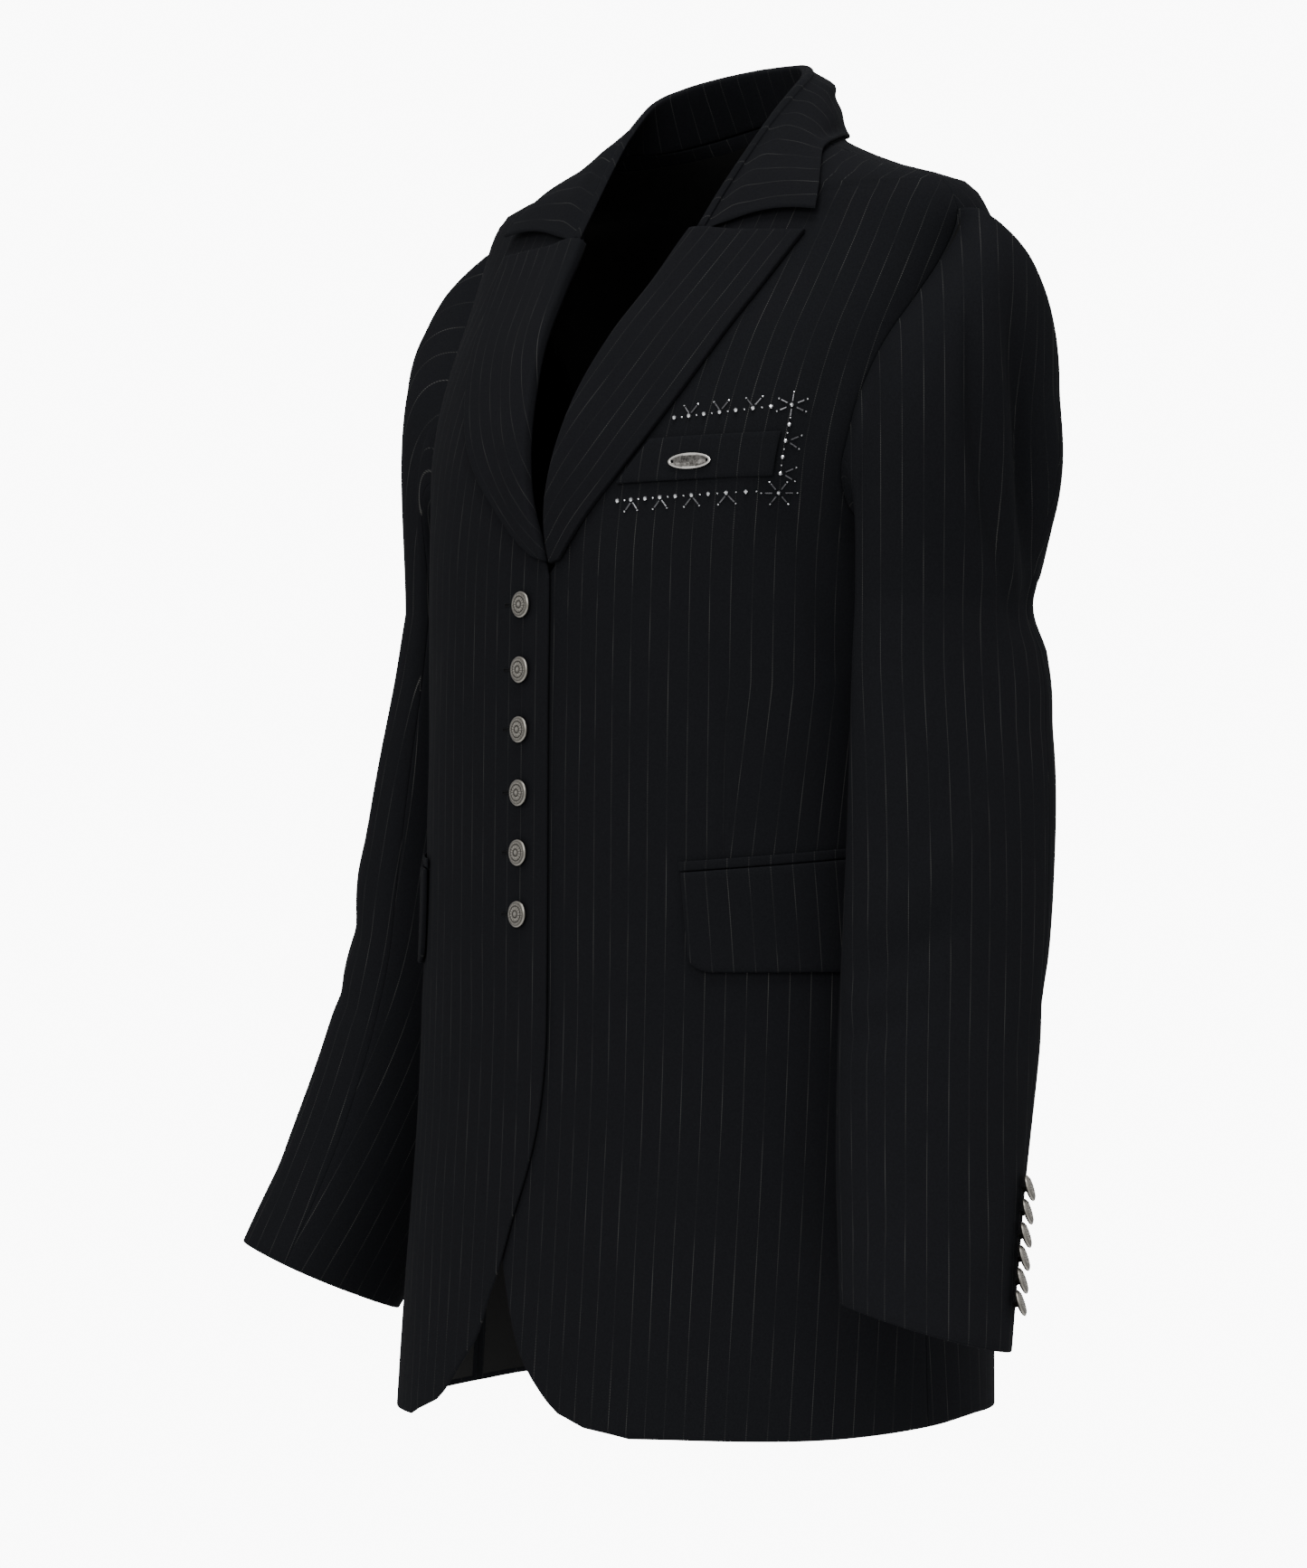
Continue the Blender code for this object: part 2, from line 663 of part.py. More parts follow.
def sleeve_point(column, row, side):
    # Rows up to SLEEVE_CAP_ROWS curve from the armhole to the first ring, the rest go down the rings.
    first = SLEEVE_RINGS[0][0]
    last = SLEEVE_RINGS[-1][0]
    turn = sleeve_turn(column, row)
    if row >= SLEEVE_CAP_ROWS:
        f = (row - SLEEVE_CAP_ROWS) / SLEEVE_RING_ROWS
        return sleeve_ring(turn, first + (last - first) * f, side)
    f = row / SLEEVE_CAP_ROWS
    start = column[0]
    end = sleeve_ring(turn, first, side)
    c = math.cos(math.radians(column[2]))
    s = math.sin(math.radians(column[2]))
    top = max(c, 0.0)
    foot = max(-c, 0.0)
    side = abs(s)
    leave = np.array((
        25.0 * top + 7.0 * side + 2.0 * foot,
        -s * 5.0 - s * top * 12.0,
        2.5 * top - 1.0 * side + 5.0 * foot,
    ))
    arrive = np.array((0.0, 0.0, -(20.0 * top + 12.0 * side + 5.0 * foot)))
    return (
        (2 * f**3 - 3 * f**2 + 1) * start
        + (f**3 - 2 * f**2 + f) * leave
        + (3 * f**2 - 2 * f**3) * end
        + (f**3 - f**2) * arrive
    )


def between(a, b, f):
    return (a[0] + (b[0] - a[0]) * f, a[1], a[2] + (b[2] - a[2]) * f, a[3] + (b[3] - a[3]) * f)


def sleeve_normal(columns, at, row, side):
    before = columns[at - 1]
    after = columns[at + 1]
    here = columns[at]
    ahead = sleeve_point(between(here, after, 0.3), row, side)
    along = ahead - sleeve_point(between(here, before, 0.3), row, side)
    down = sleeve_point(here, row + 0.1, side) - sleeve_point(here, max(row - 0.1, 0.0), side)
    return unit(np.cross(down, along))


def sleeve_grid(columns, side):
    outer = []
    inner = []
    for row in range(SLEEVE_CAP_ROWS + SLEEVE_RING_ROWS + 1):
        line = []
        back = []
        for at in range(1, len(columns) - 1):
            column = columns[at]
            p = sleeve_point(column, row, side)
            normal = sleeve_normal(columns, at, row, side)
            if row == 0:
                normal = column[1]
            elif row == 1:
                normal = unit(normal + column[1] * 0.6)
            rise = fold_at(sleeve_turn(column, row), p[2]) * min(row / 3, 1.0)
            line.append(p + normal * rise)
            back.append(p + normal * (rise - WALL_SLEEVE))
        outer.append(line)
        inner.append(back)
    return outer, inner


def make_sleeves():
    gap = math.degrees(SLEEVE_GAP / 2 / 5.0)
    pieces = (
        ("sleeve_top_", TOP_POINTS, UNDER_POINTS, CUFF_SEAM_FRONT, CUFF_SEAM_BACK, -gap),
        ("sleeve_under_", UNDER_POINTS, TOP_POINTS, CUFF_SEAM_BACK, CUFF_SEAM_FRONT - 360, -gap),
    )
    for side, word in ((1, "left"), (-1, "right")):
        for stem, points, others, first, last, gap_turn in pieces:
            columns = sleeve_columns(points, first, last)
            ghosts = sleeve_columns(others, last, first - 360)
            before = turned_like(ghosts[-2], columns[0])
            after = turned_like(ghosts[1], columns[-1])
            columns = [before] + pinched(columns, gap_turn) + [after]
            outer, inner = sleeve_grid(columns, side)
            name = stem + word
            outer = mirrored(outer, side)[::-1]
            inner = mirrored(inner, side)[::-1]
            wall_solid(name, outer, inner, wool(name))


def turned_like(column, other):
    # The same column with its angles counted from the other's side of the sleeve.
    turn = column[2] + 360 * round((other[2] - column[2]) / 360)
    cuff = column[3] + 360 * round((other[3] - column[3]) / 360)
    return column[0], column[1], turn, cuff


def pinched(columns, gap):
    # Draws the first and last columns in by half the gap, so that the two pieces stay apart.
    ends = []
    for at, towards in ((0, 1), (-1, -2)):
        place, normal, turn, cuff = columns[at]
        step = columns[towards][0] - place
        place = place + unit(step) * SLEEVE_GAP / 2
        sign = 1 if at == 0 else -1
        ends.append((place, normal, turn + sign * gap, cuff + sign * gap))
    return [ends[0]] + columns[1:-1] + [ends[1]]


def make_pockets():
    for side, word in ((1, "left"), (-1, "right")):
        outer = []
        inner = []
        for i in range(5):
            f = i / 4
            row_out = []
            row_in = []
            for j in range(17):
                g = j / 16
                corner = max(0.0, abs(g - 0.5) - 0.42) / 0.08
                bottom = -47.5 + 0.9 * (1 - math.sqrt(max(0.0, 1 - corner * corner)))
                top = FLAP_TOP + FLAP_RISE * g
                z = bottom + (top - bottom) * f
                angle = 39.0 + 56.0 * g - FLAP_LEAN * f
                row_out.append(lifted(angle, z, FLAP_GAP + 0.28))
                row_in.append(lifted(angle, z, FLAP_GAP))
            outer.append(row_out)
            inner.append(row_in)
        name = "flap_" + word
        wall_solid(name, mirrored(outer, side), mirrored(inner, side), wool(name))
        outer = []
        inner = []
        for row in (0.05, 0.60):
            places = [(38.6 - FLAP_LEAN + 56.4 * j / 16, FLAP_TOP + row + FLAP_RISE * j / 16) for j in range(17)]
            outer.append([lifted(a, z, FLAP_GAP + 0.14) for a, z in places])
            inner.append([lifted(a, z, FLAP_GAP) for a, z in places])
        name = "flap_jet_" + word
        wall_solid(name, mirrored(outer, side), mirrored(inner, side), wool(name))


WELT = ((8.6, -17.65, 6.75, -20.15), (15.6, -17.35, 15.3, -19.85))
PLATE_X = 11.3
PLATE_Z = -19.0


def make_welt():
    outer = []
    inner = []
    for i in range(3):
        f = i / 2
        row_out = []
        row_in = []
        for j in range(9):
            g = j / 8
            top = [WELT[0][k] + (WELT[1][k] - WELT[0][k]) * g for k in (0, 1)]
            low = [WELT[0][k] + (WELT[1][k] - WELT[0][k]) * g for k in (2, 3)]
            x = low[0] + (top[0] - low[0]) * f
            z = low[1] + (top[1] - low[1]) * f
            angle = angle_at_x(x, z)
            row_out.append(lifted(angle, z, LAY_GAP + 0.22))
            row_in.append(lifted(angle, z, LAY_GAP))
        outer.append(row_out)
        inner.append(row_in)
    wall_solid("chest_welt", outer, inner, wool("chest_welt"))


def place_on(piece, point, normal, lean):
    # Turns a flat piece's +Z to the normal and its +Y as near as it can be to the lean.
    z_axis = unit(normal)
    x_axis = unit(np.cross(lean, z_axis))
    y_axis = np.cross(z_axis, x_axis)
    piece.location = tuple(point * CM)
    matrix = piece.matrix_world.to_3x3()
    for row in range(3):
        matrix[row][0] = x_axis[row]
        matrix[row][1] = y_axis[row]
        matrix[row][2] = z_axis[row]
    piece.rotation_euler = matrix.to_euler()


def make_plate():
    bpy.ops.mesh.primitive_cylinder_add(vertices=24, radius=1.0, depth=1.0, end_fill_type="NGON")
    plate = bpy.context.object
    plate.name = "chest_plate"
    plate.data.name = "chest_plate"
    plate.scale = (1.3 * CM, 0.45 * CM, 0.12 * CM)
    bpy.ops.object.transform_apply(location=False, rotation=False, scale=True)
    bevel = plate.modifiers.new("rounded rim", "BEVEL")
    bevel.width = 0.04 * CM
    bevel.segments = 2
    bevel.limit_method = "ANGLE"
    bevel.angle_limit = math.radians(60)
    plate.data.materials.append(cloth("chest_plate_metal", (0.55, 0.55, 0.53), 0.3, 1.0))
    move_to_parts(plate)
    angle = angle_at_x(PLATE_X, PLATE_Z)
    point = lifted(angle, PLATE_Z, LAY_GAP + 0.22 + 0.11)
    lean = np.array((-0.03, 0.0, 1.0))
    place_on(plate, point, body_normal(angle, PLATE_Z), lean)


def move_to_parts(piece):
    for holder in list(piece.users_collection):
        holder.objects.unlink(piece)
    bpy.context.scene.collection.children["wool_jacket"].objects.link(piece)


def button_mesh(shank):
    # Half section of a domed button, with the shank it is sewn on by, turned by the Screw modifier.
    r = BUTTON_RADIUS
    t = BUTTON_THICK
    profile = [(0.0, t), (0.7 * r, 0.82 * t), (r, 0.45 * t), (0.6 * r, 0.0)]
    if shank > 0:
        profile += [(SHANK_RADIUS, 0.0), (SHANK_RADIUS, -shank), (0.0, -shank)]
    else:
        profile += [(0.0, 0.0)]
    mesh = bpy.data.meshes.new("button")
    edges = [(i, i + 1) for i in range(len(profile) - 1)]
    mesh.from_pydata([(x * CM, 0.0, z * CM) for x, z in profile], edges, [])
    return mesh


def add_button(name, mesh, point, normal, lean):
    button = bpy.data.objects.new(name, mesh.copy())
    button.data.name = name
    button.data.materials.append(cloth(name + "_metal", (0.36, 0.35, 0.33), 0.38, 1.0))
    bpy.context.scene.collection.children["wool_jacket"].objects.link(button)
    screw = button.modifiers.new("turned", "SCREW")
    screw.steps = 12
    screw.render_steps = 12
    screw.use_merge_vertices = True
    screw.merge_threshold = 0.00002
    place_on(button, point, normal, lean)


FRONT_BUTTONS = (-26.8, -30.5, -33.9, -37.5, -40.9, -44.4)
CUFF_BUTTON_PITCH = 1.2
CUFF_BUTTON_TURN = -33.0
CUFF_BUTTON_TILT = 17.0
CUFF_BUTTON_LOW = -64.1


def make_buttons():
    mesh = button_mesh(0.0)
    shanked = button_mesh(CUFF_SHANK)
    up = np.array((0.0, 0.0, 1.0))
    for at, z in enumerate(FRONT_BUTTONS):
        name = "button_front_" + str(at + 1)
        normal = body_normal(0.0, z)
        add_button(name, mesh, body_at(0.0, z) + normal * 0.05, normal, up)
    for side, word in ((1, "left"), (-1, "right")):
        for at in range(6):
            z = CUFF_BUTTON_LOW + at * CUFF_BUTTON_PITCH * 0.92
            turn = CUFF_BUTTON_TURN
            p = sleeve_ring(turn, z, side)
            along = unit(sleeve_ring(turn, z + 0.5, side) - sleeve_ring(turn, z - 0.5, side))
            across = sleeve_ring(turn + 2, z, side) - sleeve_ring(turn - 2, z, side)
            normal = unit(np.cross(along, across))
            tilt = math.radians(CUFF_BUTTON_TILT)
            face = normal * math.cos(tilt) + along * math.sin(tilt)
            p = p + normal * 0.30
            flip = np.array((side, 1.0, 1.0))
            name = "button_cuff_" + word + "_" + str(at + 1)
            add_button(name, shanked, p * flip, face * flip, along * flip)


def main():
    for old in list(bpy.data.objects):
        bpy.data.objects.remove(old)
    parts = bpy.data.collections.new("wool_jacket")
    bpy.context.scene.collection.children.link(parts)
    make_body()
    make_lapels()
    make_collar()
    make_sleeves()
    make_pockets()
    make_welt()
    make_plate()
    make_buttons()


main()
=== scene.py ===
import math

import bpy
import numpy as np
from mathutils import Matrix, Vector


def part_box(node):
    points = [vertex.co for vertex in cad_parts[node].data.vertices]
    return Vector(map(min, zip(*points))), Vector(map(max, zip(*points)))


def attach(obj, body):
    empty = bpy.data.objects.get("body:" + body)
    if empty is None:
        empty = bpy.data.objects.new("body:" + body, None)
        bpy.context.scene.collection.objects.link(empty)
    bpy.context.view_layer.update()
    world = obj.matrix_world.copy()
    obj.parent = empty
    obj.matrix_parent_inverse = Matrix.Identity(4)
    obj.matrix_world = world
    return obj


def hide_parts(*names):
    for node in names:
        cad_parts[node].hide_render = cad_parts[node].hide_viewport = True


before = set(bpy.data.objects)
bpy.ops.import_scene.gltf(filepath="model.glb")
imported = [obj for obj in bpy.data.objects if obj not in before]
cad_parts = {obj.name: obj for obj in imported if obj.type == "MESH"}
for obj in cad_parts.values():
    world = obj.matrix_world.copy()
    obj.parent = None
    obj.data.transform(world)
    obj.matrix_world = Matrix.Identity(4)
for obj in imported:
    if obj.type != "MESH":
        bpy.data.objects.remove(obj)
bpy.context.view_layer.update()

# Surface of the jacket, in centimetres and degrees, the same tables that the solids come from.
cm = 0.01
# Walls, gaps at the seams, rise of laid pieces, depth of the underlap, and the buttons.
wallBody = 0.20
wallSleeve = 0.18
wallCollar = 0.26
wallLapel = 0.28
seamGap = -0.02
sleeveGap = -0.04
layGap = 0.035
underlap = 0.26
buttonRadius = 0.75
buttonThick = 0.34
# Rings of the body: height, half width, reach to the front and back, y of the sides, squareness.
bodyRings = (
    (2.6, 6.8, 2.4, 6.0, 0.0, 2.00), (1.2, 7.1, 2.7, 6.7, 0.0, 2.00), (0.3, 7.8, 3.0, 7.1, 0.0, 2.00),
    (-0.6, 10.2, 3.4, 7.5, 0.1, 2.00), (-1.8, 14.2, 4.0, 8.1, 0.2, 2.00),
    (-2.8, 18.5, 4.6, 8.7, 0.3, 2.05), (-4.0, 19.8, 5.3, 9.3, 0.4, 2.10),
    (-5.5, 20.2, 6.2, 10.0, 0.5, 2.15), (-8.6, 20.2, 8.4, 11.0, 0.5, 2.20),
    (-11.7, 20.1, 10.6, 11.8, 0.4, 2.20), (-14.8, 20.0, 12.2, 12.3, 0.2, 2.20),
    (-17.9, 19.6, 13.4, 12.6, 0.0, 2.20), (-21.0, 18.9, 14.1, 12.7, -0.2, 2.20),
    (-24.2, 18.2, 14.5, 12.6, -0.5, 2.25), (-30.0, 17.8, 14.7, 12.4, -0.9, 2.30),
    (-37.0, 17.7, 14.8, 12.3, -1.2, 2.30), (-45.0, 18.0, 14.9, 12.3, -1.3, 2.25),
    (-55.0, 19.0, 15.1, 12.4, -1.5, 2.20), (-65.0, 19.8, 15.7, 12.2, -1.8, 2.15),
    (-75.0, 20.4, 16.5, 12.0, -2.0, 2.10),
)
# Height of the hem by the angle from the front centre.
hemLine = ((0, -73.5), (40, -73.5), (65, -73.4), (90, -72.9), (110, -72.4), (180, -72.3))
hemFront = -73.5
hemReach = 13.5
# Armhole: height, then the angles of its front and back edge.
armhole = (
    (-4.75, 90.0, 90.0), (-5.8, 87.5, 92.5), (-7.2, 82.5, 96.5), (-9.5, 74.5, 103.0),
    (-12.4, 67.5, 109.0), (-16.0, 64.0, 112.5), (-19.0, 64.0, 112.5), (-21.2, 67.0, 109.5),
    (-22.6, 73.0, 104.0), (-23.3, 80.5, 98.0), (-23.6, 90.0, 90.0),
)
armholeTop = -4.75
armholeFoot = -23.6
# Front edges: height and distance from the centre.
edgeLeft = (
    (-73.6, 11.0), (-73.4, 8.4), (-73.0, 6.2), (-72.3, 4.4), (-71.1, 2.7), (-69.4, 1.1), (-67.0, -0.1),
    (-63.0, -1.3), (-59.0, -1.9), (-50.0, -2.2), (-29.0, -2.2), (-27.0, -1.2), (-25.6, 1.2),
    (-24.6, 2.3), (-23.5, 2.1), (-21.0, 1.95), (-17.9, 2.15), (-14.8, 2.6), (-11.7, 3.5), (-8.6, 4.5),
    (-5.5, 5.2), (-4.6, 6.0), (-3.4, 6.8), (-2.2, 7.4), (-1.2, 7.75), (-0.5, 7.85), (0.3, 8.4),
)
edgeRight = (
    (-73.6, 11.0), (-73.2, 9.9), (-72.6, 7.4), (-71.6, 5.8), (-70.0, 4.2), (-68.5, 2.8), (-66.4, 1.9),
    (-64.4, 1.0), (-61.8, 0.1), (-58.7, -1.1), (-55.5, -1.9), (-51.0, -2.3), (-35.0, -2.2),
    (-25.4, -2.1), (-24.2, -1.7), (-21.0, 0.1), (-17.9, 1.25), (-14.8, 2.3), (-11.7, 3.4), (-8.6, 4.4),
    (-5.5, 5.2), (-4.6, 6.0), (-3.4, 6.8), (-2.2, 7.4), (-1.2, 7.75), (-0.5, 7.85), (0.3, 8.4),
)
# Heights of the rows of the panels.
panelRows = (
    -73.5, -73.1, -72.4, -71.2, -69.4, -67.0, -63.8, -59.5, -54.0, -47.5, -41.0, -35.0, -29.5,
    -26.4, -24.6, -23.6, -23.3, -22.6, -21.2, -19.0, -16.6, -14.2, -11.8, -9.5, -7.5, -5.9,
    -4.75, -3.6, -2.4, -1.2, -0.5, 0.2,
)
# Rise of the neck edge at the centre back.
neckLift = 1.9
# Lapels: height on the roll line, then x and height of the outer edge there.
lapelLeft = (
    (-24.45, 2.95, -24.3), (-23.4, 3.9, -23.2), (-21.8, 5.3, -21.4), (-19.6, 6.9, -19.5),
    (-17.2, 8.3, -17.6), (-14.8, 9.6, -15.4), (-12.6, 10.7, -13.1), (-10.4, 11.6, -10.8),
    (-8.2, 12.4, -8.6), (-6.6, 13.0, -6.9), (-5.5, 13.4, -5.9),
)
lapelRight = (
    (-24.35, -0.9, -24.1), (-23.4, 0.6, -23.2), (-21.8, 3.0, -21.4), (-19.6, 5.4, -19.5),
    (-17.2, 7.4, -17.6), (-14.8, 9.1, -15.4), (-12.6, 10.5, -13.1), (-10.4, 11.6, -10.8),
    (-8.2, 12.4, -8.6), (-6.6, 13.0, -6.9), (-5.5, 13.4, -5.9),
)
# Points across a lapel, roll at its edge, and how far it and the flap stand off the cloth.
lapelColumns = 9
lapelRoll = 0.42
lapelGap = 0.06
flapGap = 0.09
# Collar: place on the neck seam, then x, y and z of the fold and of the outer edge.
collarRows = (
    (180.0, 0.0, 4.8, 5.1, 0.0, 7.5, 0.9), (160.0, 1.9, 4.4, 5.0, 2.8, 6.9, 0.7),
    (140.0, 3.7, 3.2, 4.6, 5.2, 5.3, 0.3), (120.0, 5.2, 1.8, 4.0, 7.2, 3.2, -0.1),
    (100.0, 6.1, 0.1, 3.0, 9.0, 1.1, -0.5), (-1.2, 6.0, -2.0, 0.8, 11.0, -1.5, -1.4),
    (-2.4, 5.75, -3.3, -0.9, 12.2, -2.65, -2.25), (-3.6, 5.45, -4.7, -2.85, 13.3, -3.8, -3.3),
    (-4.75, 5.25, -6.0, -4.75, 13.9, -4.7, -4.3), (-5.05, 5.22, -6.24, -5.06, 13.95, -4.79, -4.4),
)
collarGap = 0.12
# Sleeve rings: height, x and y of the middle, reach outwards, inwards, forwards and back, slopes in x and y.
sleeveRings = (
    (-26.8, 19.8, -0.2, 4.1, 1.3, 6.6, 6.2, 0.00, 0.00),
    (-30.5, 20.2, -0.6, 4.2, 1.9, 6.6, 6.6, 0.00, 0.00),
    (-36.6, 21.0, -1.1, 4.6, 2.6, 6.8, 6.8, 0.02, -0.02),
    (-42.8, 21.6, -1.9, 5.0, 3.1, 6.6, 6.6, 0.06, -0.06),
    (-48.0, 22.0, -2.7, 5.2, 3.4, 6.3, 6.3, 0.10, -0.10),
    (-53.0, 22.8, -3.9, 5.3, 3.6, 5.9, 5.9, 0.16, -0.16),
    (-58.5, 24.2, -5.6, 5.2, 3.9, 5.3, 5.3, 0.22, -0.23),
    (-63.0, 25.8, -7.1, 4.8, 4.1, 4.9, 4.9, 0.26, -0.29),
    (-66.6, 27.2, -8.4, 4.5, 4.2, 4.6, 4.6, 0.28, -0.33),
)
# Slopes of the left cuff in x and y, and the height where they begin.
leftCuff = (-0.19, -0.21, -50.0)
firstRing = sleeveRings[0][0]
sleeveCapRows = 9
sleeveRingRows = 12
# Armhole points of the sleeve pieces: height, front (1) or back (-1), columns up to the next point.
topPoints = (
    (-19.0, 1, 1), (-16.6, 1, 1), (-14.2, 1, 1), (-11.8, 1, 2), (-9.5, 1, 2), (-7.5, 1, 2), (-5.9, 1, 2),
    (-4.75, 1, 2), (-5.9, -1, 2), (-7.5, -1, 1),
)
underPoints = (
    (-7.5, -1, 1), (-9.5, -1, 1), (-11.8, -1, 1), (-14.2, -1, 1), (-16.6, -1, 1), (-19.0, -1, 1),
    (-21.2, -1, 1), (-22.6, -1, 1), (-23.3, -1, 1), (-23.6, -1, 1), (-23.3, 1, 1), (-22.6, 1, 1),
    (-21.2, 1, 1), (-19.0, 1, 1),
)
# Angles round the sleeve of its two seams at the cuff.
cuffSeamFront = 118.0
cuffSeamBack = -36.0
# Sleeve folds: height, angle, half length, half width in degrees, drift of the angle per cm, depth.
sleeveFolds = (
    (-18.0, 6.0, 11.0, 9.0, 2.2, 0.50), (-18.5, -13.0, 10.0, 10.0, 2.2, -1.05),
    (-19.8, -42.0, 5.4, 20.0, 0.5, 0.60), (-27.4, -45.0, 2.2, 40.0, 0.0, -0.55),
    (-31.5, -35.0, 2.6, 40.0, 0.0, 0.20),
)
# Heights of the front buttons, then the row of buttons on a cuff.
frontButtons = (-26.8, -30.5, -33.9, -37.5, -40.9, -44.4)
cuffButtonPitch = 1.2
cuffButtonTurn = -33.0
cuffButtonTilt = 17.0
cuffButtonLow = -64.1
# Welt: x and height of the top and then of the foot, at its inner and its outer end.
welt = ((8.6, -17.65, 6.75, -20.15), (15.6, -17.35, 15.3, -19.85))
# Middle of the oval plate.
plateX = 11.3
plateZ = -19.0
# Flap: heights of its foot and of its top at the front, rise of the top towards the back, lean in degrees.
flapFoot = -47.5
flapTop = -41.95
flapRise = 1.2
flapLean = 1.2


def smoothRows(table, key):
    rows = sorted(table)
    if key <= rows[0][0]:
        return rows[0][1:]
    if key >= rows[-1][0]:
        return rows[-1][1:]
    at = max(i for i in range(len(rows) - 1) if rows[i][0] <= key)
    a, b = rows[at], rows[at + 1]
    before = rows[max(at - 1, 0)]
    after = rows[min(at + 2, len(rows) - 1)]
    span = b[0] - a[0]
    f = (key - a[0]) / span
    values = []
    for j in range(1, len(a)):
        chord = (b[j] - a[j]) / span
        left = chord if at == 0 else (b[j] - before[j]) / (b[0] - before[0])
        right = chord if at + 2 >= len(rows) else (after[j] - a[j]) / (after[0] - a[0])
        left = limited(left, chord)
        right = limited(right, chord)
        values.append(
            (2 * f**3 - 3 * f**2 + 1) * a[j]
            + (f**3 - 2 * f**2 + f) * span * left
            + (3 * f**2 - 2 * f**3) * b[j]
            + (f**3 - f**2) * span * right
        )
    return tuple(values)


def limited(slope, chord):
    # Keeps a curve through the rows of a table from overshooting between two rows.
    if slope * chord <= 0:
        return 0.0
    return math.copysign(min(abs(slope), 3 * abs(chord)), chord)


def ease(low, high, value):
    f = np.clip((value - low) / (high - low), 0.0, 1.0)
    return f * f * (3 - 2 * f)


def unit(vector):
    return vector / np.linalg.norm(vector)


def squared(angle, full):
    # Cosine and sine of an angle, pushed out from the circle to a rounded square.
    c = math.cos(math.radians(angle))
    s = math.sin(math.radians(angle))
    k = (abs(c) ** full + abs(s) ** full) ** (-1 / full)
    return k * c, k * s


def bodyAt(angle, z):
    # Point of the body's outer surface on the wearer's left half, at an angle from the front centre.
    width, front, back, sideY, full = smoothRows(bodyRings, z)
    c, s = squared(angle, full)
    depth = front + sideY if c > 0 else back - sideY
    return np.array((width * s, sideY - depth * c, z))


def bodyNormal(angle, z):
    along = bodyAt(angle + 0.5, z) - bodyAt(angle - 0.5, z)
    up = bodyAt(angle, z + 0.1) - bodyAt(angle, z - 0.1)
    return unit(np.cross(along, up))


def angleAtX(x, z):
    low, high = -60.0, 90.0
    for _ in range(40):
        middle = (low + high) / 2
        if bodyAt(middle, z)[0] < x:
            low = middle
        else:
            high = middle
    return (low + high) / 2


def sinkLeft(angle, z):
    # The left front runs under the right one, so it lies deeper near the centre.
    x = bodyAt(angle, z)[0]
    return -underlap * (1 - ease(2.5, 5.5, x)) * (1 - ease(-24.6, -20.5, z))


def sinkRight(angle, z):
    return 0.0


def lifted(angle, z, rise, sink=sinkRight):
    return bodyAt(angle, z) + bodyNormal(angle, z) * (rise + sink(angle, z))


def rowHeight(row, angle, lift=0.0):
    hem = smoothRows(hemLine, abs(angle))[0] - hemFront
    down = min(max((hemFront + hemReach - row) / hemReach, 0.0), 1.0)
    up = ease(-6.0, 0.3, row) * ease(90.0, 180.0, angle)
    return row + hem * down * down + lift * up


def armholeAngles(z):
    if z > armholeTop or z < armholeFoot:
        return 90.0, 90.0
    return smoothRows(armhole, z)


def gapAngle(z, gap):
    return math.degrees(gap / max(smoothRows(bodyRings, z)[1], 2.0))


def lapelSection(edge, sink, rollZ, edgeX, edgeZ):
    # One row across a lapel: it wraps the panel's edge at the roll line and lies on the panel.
    rollX = smoothRows(edge, rollZ)[0]
    width = math.hypot(edgeX - rollX, edgeZ - rollZ)
    outer = []
    inner = []
    rollAngle = angleAtX(rollX, rollZ)
    rollNormal = bodyNormal(rollAngle, rollZ)
    roll = bodyAt(rollAngle, rollZ) + rollNormal * sink(rollAngle, rollZ)
    edgeAngle = angleAtX(edgeX, edgeZ)
    across = bodyAt(edgeAngle, edgeZ) - roll
    across = unit(across - rollNormal * np.dot(across, rollNormal))
    wrap = min(lapelRoll, 0.12 + width * 0.12)
    near = 0.07
    outer.append(roll - across * wrap * 0.75 - rollNormal * wallBody)
    inner.append(roll - across * near - rollNormal * wallBody)
    outer.append(roll - across * wrap + rollNormal * 0.10)
    inner.append(roll - across * near - rollNormal * 0.02)
    for j in range(lapelColumns):
        f = j / (lapelColumns - 1)
        x = rollX + (edgeX - rollX) * f
        z = rollZ + (edgeZ - rollZ) * f
        angle = angleAtX(x, z)
        swell = 0.30 * math.exp(-((f * width - 0.9) / 1.3) ** 2) * min(width / 5, 1.0)
        low = lapelGap + swell
        top = low + wallLapel
        outerShift = -across * wrap * 0.55 if j == 0 else 0.0
        outer.append(lifted(angle, z, top, sink) + outerShift)
        inner.append(lifted(angle, z, low, sink))
    return outer, inner


def implicit(p):
    # Below 1 inside the body's outer surface, above 1 outside it.
    width, front, back, sideY, full = smoothRows(bodyRings, p[2])
    depth = front + sideY if p[1] < sideY else back - sideY
    return (abs(p[0]) / width) ** full + (abs(p[1] - sideY) / depth) ** full


def pushedOut(p, distance):
    # Moves a point off the body's surface until it stands the distance away.
    for _ in range(6):
        step = 0.02
        gradient = np.array([(implicit(p + e) - implicit(p - e)) / (2 * step) for e in np.eye(3) * step])
        away = (implicit(p) - 1) / max(np.linalg.norm(gradient), 1e-6)
        if away >= distance:
            return p
        p = p + unit(gradient) * (distance - away)
    return p


def neckEdge(place):
    # Point and normal on the neck seam: place is an angle round the back or a height on the front edge.
    if place > 89:
        z = rowHeight(0.2, place, neckLift)
        return bodyAt(place, z), bodyNormal(place, z)
    angle = angleAtX(smoothRows(edgeLeft, place)[0], place)
    return bodyAt(angle, place), bodyNormal(angle, place)


